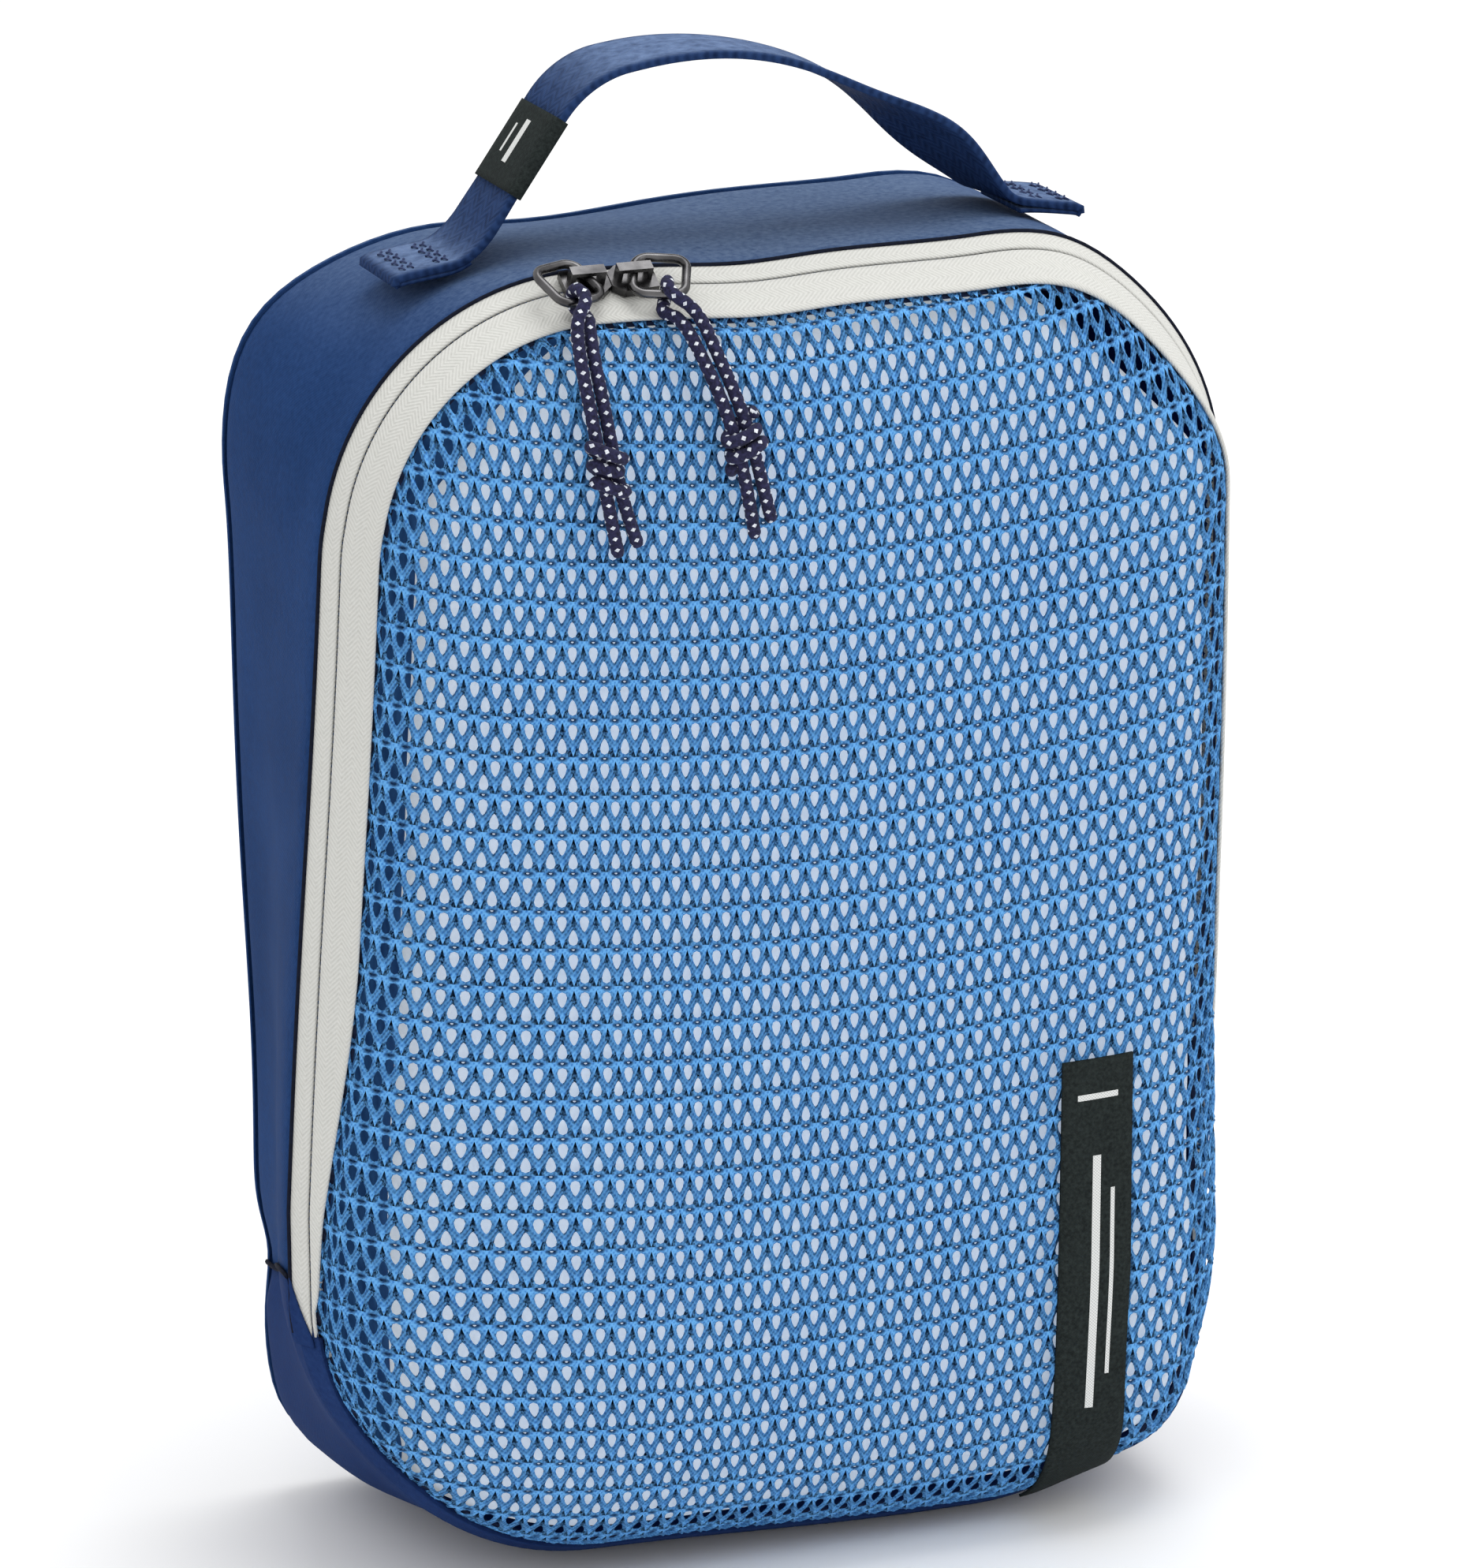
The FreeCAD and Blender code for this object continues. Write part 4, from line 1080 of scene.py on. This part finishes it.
def pull_inside(x, z, edge):
    """Points beyond the seam line move to it, so the net ends under the tape."""
    for _ in range(3):
        inset = inset_at(x, z)
        step = 0.05
        toward_x = (inset_at(x + step, z) - inset_at(x - step, z)) / (2 * step)
        toward_z = (inset_at(x, z + step) - inset_at(x, z - step)) / (2 * step)
        short = np.maximum(edge - inset, 0)
        x = x + toward_x * short
        z = z + toward_z * short
    return x, z


def bend_at_hinge(item):
    """Cloth that crosses the flap's fold: its placement is baked into its mesh, and it doesn't bend there."""
    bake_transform(item)


def front_label(cloth):
    """The woven label sewn on the mesh, from the base seam upwards."""
    columns = 12
    rows = 90
    low = 3.5
    vertices = []
    uv = []
    across = np.linspace(LABEL_LEFT, LABEL_RIGHT, columns)
    for lift in (1.15, 0.55):
        for z in np.linspace(low, LABEL_TOP, rows):
            width_share = np.abs(across - across.mean()) / (across[-1] - across[0]) * 2
            curl = 0.25 * width_share ** 4
            height = np.full(columns, z)
            points = on_mesh(across, height, lift - curl * 0.4)
            points[:, 1] += NET_WAVE * net_waves(across, height)
            vertices += points.tolist()
            uv += [(z - low, x - LABEL_LEFT) for x in across]
    faces = [face[::-1] for face in sheet_faces(rows, columns)]
    item = build("front_label", vertices, faces, cloth, uv)
    bend_at_hinge(item)
    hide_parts("front_label_upper", "front_label_lower")
    return item


# ---------------------------------------------------------------- tubes and cords
def tube(path, radius, sides):
    """A tube along a path, with a frame that doesn't twist. radius(distance, turn) is in millimetres."""
    path = np.asarray(path, float)
    tangents = directions(path)
    side = np.cross(tangents[0], (0.3, 0.9, 0.2))
    side /= np.linalg.norm(side)
    vertices = []
    uv = []
    for point, tangent, distance in zip(path, tangents, distances_along(path)):
        side = side - tangent * side.dot(tangent)
        side /= np.linalg.norm(side)
        other = np.cross(tangent, side)
        for turn in range(sides):
            angle = 2 * math.pi * turn / sides
            reach = radius(distance, turn / sides)
            vertices.append(point + reach * (math.cos(angle) * side + math.sin(angle) * other))
            uv.append((distance, turn / sides))
    return np.array(vertices), capped_faces(len(path), sides), uv


def braid_radius(length):
    """The braid's lobes, and its sealed, slightly drawn-in end."""
    def radius(distance, turn):
        one = math.sin(2 * math.pi * (distance / 2.5 + 2 * turn))
        other = math.sin(2 * math.pi * (distance / 2.5 - 2 * turn))
        relief = 0.09 * max(one, other)
        end = min(1.0, 0.72 + 0.28 * (length - distance) / 0.8) if length - distance < 0.8 else 1.0
        return (CORD / 2 - 0.05 + relief) * end
    return radius


def spline_points(name, points, spacing):
    """Points read from the smooth NURBS spline that a cord's route steers, in millimetres."""
    curve = bpy.data.curves.new(name, "CURVE")
    curve.dimensions = "3D"
    curve.resolution_u = 24
    spline = curve.splines.new("NURBS")
    spline.points.add(len(points) - 1)
    for target, point in zip(spline.points, points):
        target.co = (point[0] * MM, point[1] * MM, point[2] * MM, 1)
    spline.order_u = 3
    spline.use_endpoint_u = True
    holder = bpy.data.objects.new(name, curve)
    mesh = bpy.data.meshes.new_from_object(holder)
    read = np.array([vertex.co for vertex in mesh.vertices]) / MM
    bpy.data.objects.remove(holder)
    length = distances_along(read)[-1]
    return read_line(read, np.linspace(0, length, int(length / spacing) + 1)), length


def on_band(x, along, out):
    """A point over the top run of the band."""
    return (x, FRONT - along * BAND_COSINE - out * BAND_SINE, TOP - along * BAND_SINE + out * BAND_COSINE)


def cord_routes(side, x, hang):
    """Both halves of a doubled cord, folded round the ring's lower arm, down to the cut ends."""
    pin = Vector(on_band(x, SLIDER_LINE, RING_PIN))
    uphill = Vector((0, BAND_COSINE, BAND_SINE))
    outward = Vector((0, -BAND_SINE, BAND_COSINE))
    level = Vector((side * math.cos(RING_SWING), 0, 0)) - uphill * math.sin(RING_SWING)
    ring_along = level * math.cos(RING_RAISE) + outward * math.sin(RING_RAISE)
    ring_down = Vector((-side * math.sin(RING_SWING), 0, 0)) - uphill * math.cos(RING_SWING)
    ring_out = outward * math.cos(RING_RAISE) - level * math.sin(RING_RAISE)

    def by_ring(along, beyond, out):
        """A point by the arm: along the ring, downhill past the arm, and out of the ring's plane."""
        return tuple(pin + ring_along * along + ring_down * (RING_ARM + beyond) + ring_out * out)

    fold = by_ring(FOLD_ALONG, -FOLD_CLEAR, 0)
    over = [fold, by_ring(FOLD_ALONG, -FOLD_CLEAR, FOLD_CLEAR),
            by_ring(FOLD_ALONG + 0.4, FOLD_CLEAR, FOLD_CLEAR + 0.3)]
    under = [fold, by_ring(FOLD_ALONG, -FOLD_CLEAR, -FOLD_CLEAR),
             by_ring(FOLD_ALONG - 1.0, FOLD_CLEAR + 0.4, 0.1 - FOLD_CLEAR)]
    return over + hang["over"], under + hang["under"]


HANGING = {
    "left": {
        "over": [(-45.8, -41.6, 249.0), (-46.0, -44.6, 241.6), (-44.9, -47.6, 231.8), (-44.0, -49.4, 223.0),
                 (-42.2, -49.0, 214.2), (-40.4, -48.1, 206.2)],
        "under": [(-42.9, -40.4, 247.8), (-43.2, -44.3, 241.2), (-42.1, -47.4, 231.4), (-41.2, -49.4, 222.6),
                  (-39.2, -49.0, 214.6), (-36.6, -48.1, 207.8)],
        "knot": (-42.9, -49.4, 222.9)},
    "right": {
        "over": [(-22.6, -41.6, 249.0), (-20.0, -44.6, 241.6), (-17.2, -47.6, 233.4), (-15.2, -49.4, 226.0),
                 (-13.0, -49.0, 217.8), (-10.8, -48.1, 210.0)],
        "under": [(-25.5, -40.9, 247.6), (-22.9, -44.6, 241.2), (-20.0, -47.6, 233.0), (-18.0, -49.4, 225.6),
                  (-15.8, -49.0, 216.4), (-14.0, -48.1, 207.2)],
        "knot": (-16.7, -49.5, 225.6)},
}
CORD_LENGTHS = {"left": (54.0, 51.0), "right": (52.5, 53.0)}
SLIDERS = {"left": (-1, -39.5), "right": (1, -30.5)}


def knot_path(middle, side):
    """A lumpy overhand knot: two and a bit slanting turns of the cord round itself."""
    steps = 150
    points = []
    for step in range(steps + 1):
        share = step / steps
        angle = side * (0.6 + 2 * math.pi * 2.4 * share)
        swell = 1 + 0.22 * math.sin(2 * math.pi * 1.5 * share + 0.7)
        drop = 3.7 - 7.4 * share
        x = 2.75 * swell * math.cos(angle)
        y = 1.9 * swell * math.sin(angle)
        points.append((middle[0] + x, middle[1] + y - 0.4, middle[2] + drop + 0.62 * x * side))
    return points


def pull_cord(label, braid):
    """One pull's cord: its knot and the two strands that hang from the ring."""
    side, x = SLIDERS[label]
    hang = HANGING[label]
    routes = cord_routes(side, x, hang)
    body = label + "_pull"
    path = knot_path(hang["knot"], side)
    vertices, faces, uv = tube(path, braid_radius(1000), 14)
    knot = build(label + "_knot", vertices, faces, braid, uv, 1.0)
    place(knot, body, [label + "_cord_knot"], "flecked_cord")
    for half, route, length in zip(("over", "under"), routes, CORD_LENGTHS[label]):
        path, measured = spline_points(label + "_" + half + "_route", route, 0.3)
        vertices, faces, uv = tube(path, braid_radius(measured), 16)
        cord = build("%s_pull_cord_%s" % (label, half), vertices, faces, braid, uv, 1.0)
        place(cord, body, ["%s_cord_%s" % (label, half)], "flecked_cord")


# ---------------------------------------------------------------- the handle
def arch_line():
    """The arch's middle line from foot to foot: a steep leg, a small bend, the wide crest, the other leg."""
    rise = strap_high.z - STRAP / 2 - STRAP_BOTTOM
    bend_x = BEND_RADIUS * (math.sin(LEFT_LEG) - math.sin(CREST_START))
    bend_z = BEND_RADIUS * (math.cos(CREST_START) - math.cos(LEFT_LEG))
    above = 1 - math.cos(CREST_START)
    slope = 1 / math.tan(RIGHT_LEG)
    share = math.sin(CREST_START) + math.sin(RIGHT_LEG) - above / math.tan(LEFT_LEG)
    share -= (1 - math.cos(RIGHT_LEG)) * slope
    crest = (2 * STRAP_FOOT - bend_x - rise * slope - (rise - bend_z) / math.tan(LEFT_LEG)) / share
    leg = (rise - bend_z - crest * above) / math.sin(LEFT_LEG)
    points = [(-STRAP_FOOT + leg * part * math.cos(LEFT_LEG), STRAP_BOTTOM + leg * part * math.sin(LEFT_LEG))
              for part in np.linspace(0.14, 1, 8)]
    for radius, begin, end in ((BEND_RADIUS, LEFT_LEG, CREST_START), (crest, CREST_START, -RIGHT_LEG)):
        x, z = points[-1]
        for angle in np.linspace(begin, end, 9)[1:]:
            points.append((x + radius * (math.sin(begin) - math.sin(angle)),
                           z + radius * (math.cos(angle) - math.cos(begin))))
    x, z = points[-1]
    for part in np.linspace(0.15, 0.86, 7):
        points.append((x + (STRAP_FOOT - x) * part, z + (STRAP_BOTTOM - z) * part))
    return points


def end_line(side):
    """A sewn end of the strap, from its folded outer edge to the foot: it stands off the round corner."""
    if side < 0:
        return [(-69.4, 250.5), (-69.7, 251.3), (-68.6, 252.0), (-62.5, 252.9), (-57.6, 253.5),
                (-54.6, 255.0)]
    return [(66.2, 253.5), (66.6, 254.3), (65.2, 254.9), (61.0, 255.5), (57.0, 256.0), (53.6, 256.2)]


def strap_centreline():
    """The webbing from end to end, seen from the front: one sewn end, over the arch, the other end."""
    return rounded_line(end_line(-1) + arch_line() + end_line(1)[::-1])


def rounded_line(points):
    """Even points along a line with its corners eased, and how far along each one is."""
    line = np.array(points, float)
    for _ in range(2):
        cut = [line[0]]
        for one, two in zip(line, line[1:]):
            cut += [one * 0.75 + two * 0.25, one * 0.25 + two * 0.75]
        line = np.array(cut + [line[-1]])
    wanted = np.linspace(0, distances_along(line)[-1], 150)
    return read_line(line, wanted), wanted


def band_ring(width, thickness, steps):
    """A flat strap's section as (across, out) points, with rounded edges."""
    half = width / 2
    upper = [(-half + width * step / steps, thickness / 2) for step in range(steps + 1)]
    return ([(-half - thickness * 0.18, 0)] + upper + [(half + thickness * 0.18, 0)]
            + [(across, -out) for across, out in upper[::-1]])


def strap_mesh(line, distances, width, thickness, twist=0.0):
    """A strap along a line in the plane of the arch. twist leans its right leg, so the inner face shows."""
    ring = band_ring(width, thickness, 12)
    vertices = []
    uv = []
    for (x, z), (run, rise), distance in zip(line, directions(line), distances):
        over = (-rise, run)
        for across, out in ring:
            wave = 0.22 * math.sin(distance / 9.5 + across / 5)
            wave *= smooth(20, 34, min(distance, distances[-1] - distance))
            lean = twist * (TWIST_LIFT - across / width) * bell(x, TWIST_MIDDLE, TWIST_REACH)
            lift = out + wave + lean
            vertices.append((x + over[0] * lift, across, z + over[1] * lift))
            uv.append((distance, across + width))
    return vertices, [face[::-1] for face in capped_faces(len(line), len(ring))], uv


def handle(webbing):
    """The webbing handle, one mesh that bends at its feet, and the layers folded under its ends."""
    line, distances = strap_centreline()
    vertices, faces, uv = strap_mesh(line, distances, STRAP_WIDTH, STRAP - 0.3, TWIST)
    item = build("handle_webbing", vertices, faces, webbing, uv)
    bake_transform(item)
    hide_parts("handle_strap")
    for side, name in ((-1, "left"), (1, "right")):
        tab_fold(side, name, webbing)
    return line, distances


def tab_fold(side, name, webbing):
    """The strap's end turned back under itself: the lower layer, close below the upper one."""
    upper = end_line(side)
    points = [(x + side * 0.3, z - 1.3) for x, z in upper[2:]]
    points = [(upper[0][0], upper[0][1] - 0.4)] + points
    line, distances = rounded_line(points[::-1])
    if side > 0:
        line = line[::-1]
    vertices, faces, uv = strap_mesh(line, distances, STRAP_WIDTH - 0.6, 0.85)
    item = build(name + "_tab_fold", vertices, faces, webbing, uv)
    place(item, "shell", [name + "_handle_tab"], "webbing")


def size_label(cloth, line, distances):
    """The small black label folded round the handle's left leg."""
    heights = line[:len(line) // 2, 1]
    keep_from = int(np.argmin(np.abs(heights - (STRAP_BOTTOM + LABEL_START * math.sin(LEFT_LEG)))))
    keep_to = int(np.argmin(np.abs(heights - (STRAP_BOTTOM + LABEL_END * math.sin(LEFT_LEG)))))
    part = line[keep_from:keep_to + 1]
    half = STRAP_WIDTH / 2 + 0.75
    thick = 1.75
    loop = []
    for turn in range(28):
        angle = 2 * math.pi * turn / 28
        across = half * np.sign(math.cos(angle)) * abs(math.cos(angle)) ** 0.35
        out = thick * np.sign(math.sin(angle)) * abs(math.sin(angle)) ** 0.55
        loop.append((across, out))
    vertices = []
    uv = []
    for inward in (0.0, 0.55):
        for (x, z), (run, rise), distance in zip(part, directions(part), distances[keep_from:]):
            for across, out in loop:
                out = out * (thick - inward) / thick
                across = across * (half - inward) / half
                vertices.append((x - rise * out, across, z + run * out))
                uv.append((distance - distances[keep_from], across + half))
    rows = len(part)
    columns = len(loop)
    count = rows * columns
    faces = grid_faces(rows, columns, True)
    faces += [face[::-1] for face in grid_faces(rows, columns, True, count)]
    for start, order in ((0, 1), ((rows - 1) * columns, -1)):
        for column in range(columns):
            after = (column + 1) % columns
            face = (start + after, start + column, start + count + column, start + count + after)
            faces.append(face[::order])
    item = build("size_label_sleeve", vertices, faces, cloth, uv)
    place(item, "handle", ["size_label"], "black_label")


def tab_stitches(thread):
    """Rows of thread across both sewn ends, each stitch a short rounded bar on the strap."""
    vertices = []
    faces = []
    for side in (-1, 1):
        line, _ = rounded_line(end_line(side))
        for share_along in STITCH_ROWS:
            spot = int(share_along * (len(line) - 1))
            x, z = line[spot]
            for index in range(STITCHES):
                across = STITCH_PITCH * (index - (STITCHES - 1) / 2)
                lean = STITCH_LEAN if index % 2 else -STITCH_LEAN
                path = []
                for share in np.linspace(0, 1, 6):
                    rise = STRAP / 2 - 0.05 + 0.22 * math.sin(math.pi * share)
                    path.append((x + lean * share, across + 1.6 * (share - 0.5), z + rise))
                new, made, _ = tube(path, lambda distance, turn: 0.2, 6)
                faces += [tuple(corner + len(vertices) for corner in face) for face in made]
                vertices += new.tolist()
    item = build("handle_stitches", vertices, faces, thread)
    place(item, "shell", ["handle_stitching"], "navy_thread")


# ---------------------------------------------------------------- hardware, contents and stage
def metal_parts(metal):
    """The sliders, bridges and rings keep their CAD shapes, with eased edges and a plated finish."""
    for label in ("left", "right"):
        for part, width in (("slider_body", 0.7), ("slider_bridge", 0.35), ("pull_ring", 0.0)):
            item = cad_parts["%s_%s" % (label, part)]
            item.data.materials.clear()
            item.data.materials.append(metal)
            if width:
                bevel = item.modifiers.new("eased", "BEVEL")
                bevel.width = width * MM
                bevel.segments = 3
                bevel.limit_method = "ANGLE"
            item.data.polygons.foreach_set("use_smooth", [True] * len(item.data.polygons))


def contents(cotton, shade):
    """Folded white clothes that fill the cube behind the mesh. They aren't part of the object."""
    columns = 120
    rows = 160
    across = np.linspace(-1, 1, columns)
    down = np.linspace(-1, 1, rows)
    vertices = []
    for z_share in down:
        for x_share in across:
            x = CLOTHES_SHIFT + x_share * (HALF - CLOTHES_SIDE_GAP)
            low, high = height_range(x, CLOTHES_EDGE)
            drop = CLOTHES_LEFT_DROP if x < 0 else CLOTHES_RIGHT_DROP
            high -= drop * smooth(36, 76, abs(x)) + CLOTHES_TOP_GAP
            vertices.append((x, 0, (low + high) / 2 + z_share * (high - low) / 2 * 0.99))
    points = np.array(vertices)
    points[:, 0] -= 3.0 * smooth(64, 34, points[:, 2]) * smooth(-50, -77, points[:, 0])
    x = points[:, 0]
    z = points[:, 2]
    edge = np.minimum(1 - np.abs(np.tile(across, rows)), (1 - np.abs(np.repeat(down, columns))))
    fold = 2.2 * np.sin(x / 15 + 0.9 * np.sin(z / 38)) + 1.3 * np.sin(z / 17 + x / 29)
    fold += 1.6 * ripple(points, 24, 11) + 0.7 * ripple(points, 9, 12)
    depth = mesh_depth(x, z) + CLOTHES_BEHIND + 0.55 * (fold + 1.5) + 6 * np.exp(-edge / 0.02)
    points = soften(np.stack([x, np.minimum(depth, BACK - 8), z], axis=1))
    # the clothes' front carries a painted glow
    build("clothes", points, [face[::-1] for face in grid_faces(rows, columns, False)], cotton)
    rim = rim_of(rows, columns)
    front_rim = points[rim]
    back_rim = front_rim.copy()
    back_rim[:, 1] = BACK - 4
    count = len(rim)
    faces = [(one, (one + 1) % count, count + (one + 1) % count, count + one) for one in range(count)]
    # the clothes' sides are painted shade: a dark, faintly glowing navy sheet in the cube's shadowed inside
    build("clothes_side", np.vstack([front_rim, back_rim]), faces, shade)


def stage_floor(paint):
    """A wide pale floor."""
    reach = 9000
    steps = 8
    vertices = [(-reach + 2 * reach * column / steps, -reach + 2 * reach * row / steps, 0)
                for row in range(steps + 1) for column in range(steps + 1)]
    item = build("floor", vertices, grid_faces(steps + 1, steps + 1, False), paint)


def add_light(name, place_at, size, power):
    """A round lamp that faces the middle of the cube."""
    data = bpy.data.lights.new(name, "AREA")
    data.shape = "DISK"
    data.size = size
    data.energy = power
    light = bpy.data.objects.new(name, data)
    light.location = place_at
    light.rotation_mode = "QUATERNION"
    light.rotation_quaternion = (Vector((0, 0, 0.13)) - Vector(place_at)).to_track_quat("-Z", "Y")
    bpy.context.scene.collection.objects.link(light)


def lights():
    """A white studio with a soft key lamp and one overhead."""
    world = bpy.data.worlds.new("studio")
    world.use_nodes = True
    world.node_tree.nodes["Background"].inputs["Color"].default_value = (1, 1, 1, 1)
    world.node_tree.nodes["Background"].inputs["Strength"].default_value = 1.0
    bpy.context.scene.world = world
    add_light("key", (0.9, -1.5, 1.7), 1.4, 6)
    add_light("overhead", (0.3, 0.1, 1.9), 1.2, 13)
    bpy.context.scene.view_settings.view_transform = "Standard"


# ---------------------------------------------------------------- making it all
make_camera()
braid = flecked_braid("flecked_braid")
for label in ("left", "right"):
    pull_cord(label, braid)

# the last colour of each navy cloth is painted top light, the paler colour its upward faces are mixed towards
ripstop = navy_cloth("navy_ripstop_cloth", (0.009, 0.030, 0.100), (0.021, 0.057, 0.172),
                     (0.110, 0.160, 0.255))
base_cloth = navy_cloth("navy_base_cloth", (0.009, 0.023, 0.088), (0.019, 0.045, 0.146), (0.08, 0.11, 0.22))
binding = thread_cloth("binding_cloth", (0.010, 0.014, 0.035), (0.030, 0.042, 0.090))
# dark lines: the side folds, and painted shade along the band's edge
dark_line_cloth = thread_cloth("dark_line_cloth", (0.003, 0.004, 0.009), (0.009, 0.012, 0.026))
tape = tape_cloth("zipper_tape_cloth")
plastic = coil_plastic("coil_nylon")
# the webbing's third colour is painted top light, the paler blue its upward faces are mixed towards
webbing = webbing_cloth("navy_webbing", (0.003, 0.008, 0.030), (0.019, 0.043, 0.125),
                        (0.135, 0.20, 0.35), 1.9)

upper_gusset(ripstop)
bottom_gusset(base_cloth)
back_panel(ripstop)
inner_bindings(binding)
tape_end_covers(base_cloth)
outside_seams(dark_line_cloth)
zipper_tapes(tape)
mesh_binding(binding)
coil("coil_outer", 4.1, 0.95, 0.0, plastic, "shell", "outer_zipper_coil")
coil("coil_inner", 5.9, 0.95, 0.5, plastic, "flap", "inner_zipper_coil")
zipper_stop(-1, "left", plastic)
zipper_stop(1, "right", plastic)
mesh_net(net_yarn("blue_net_yarn"))
front_label(label_cloth("front_label_cloth", [(88, 7, 1.2, 8), (50, 7, 52, 1.6), (50, 10.2, 38, 0.8)]))
strap_line, strap_distances = handle(webbing)
size_label(label_cloth("size_label_cloth", [(9, 10.7, 9, 2.2), (9, 15, 6, 0.9)]), strap_line, strap_distances)
tab_stitches(thread_cloth("navy_stitch_thread", (0.02, 0.03, 0.08), (0.06, 0.08, 0.17)))
metal_parts(gunmetal("gunmetal_plate"))
contents(white_cotton("white_cotton"), shaded_side("clothes_side_shade"))
stage_floor(floor_paint("floor_paint"))
lights()
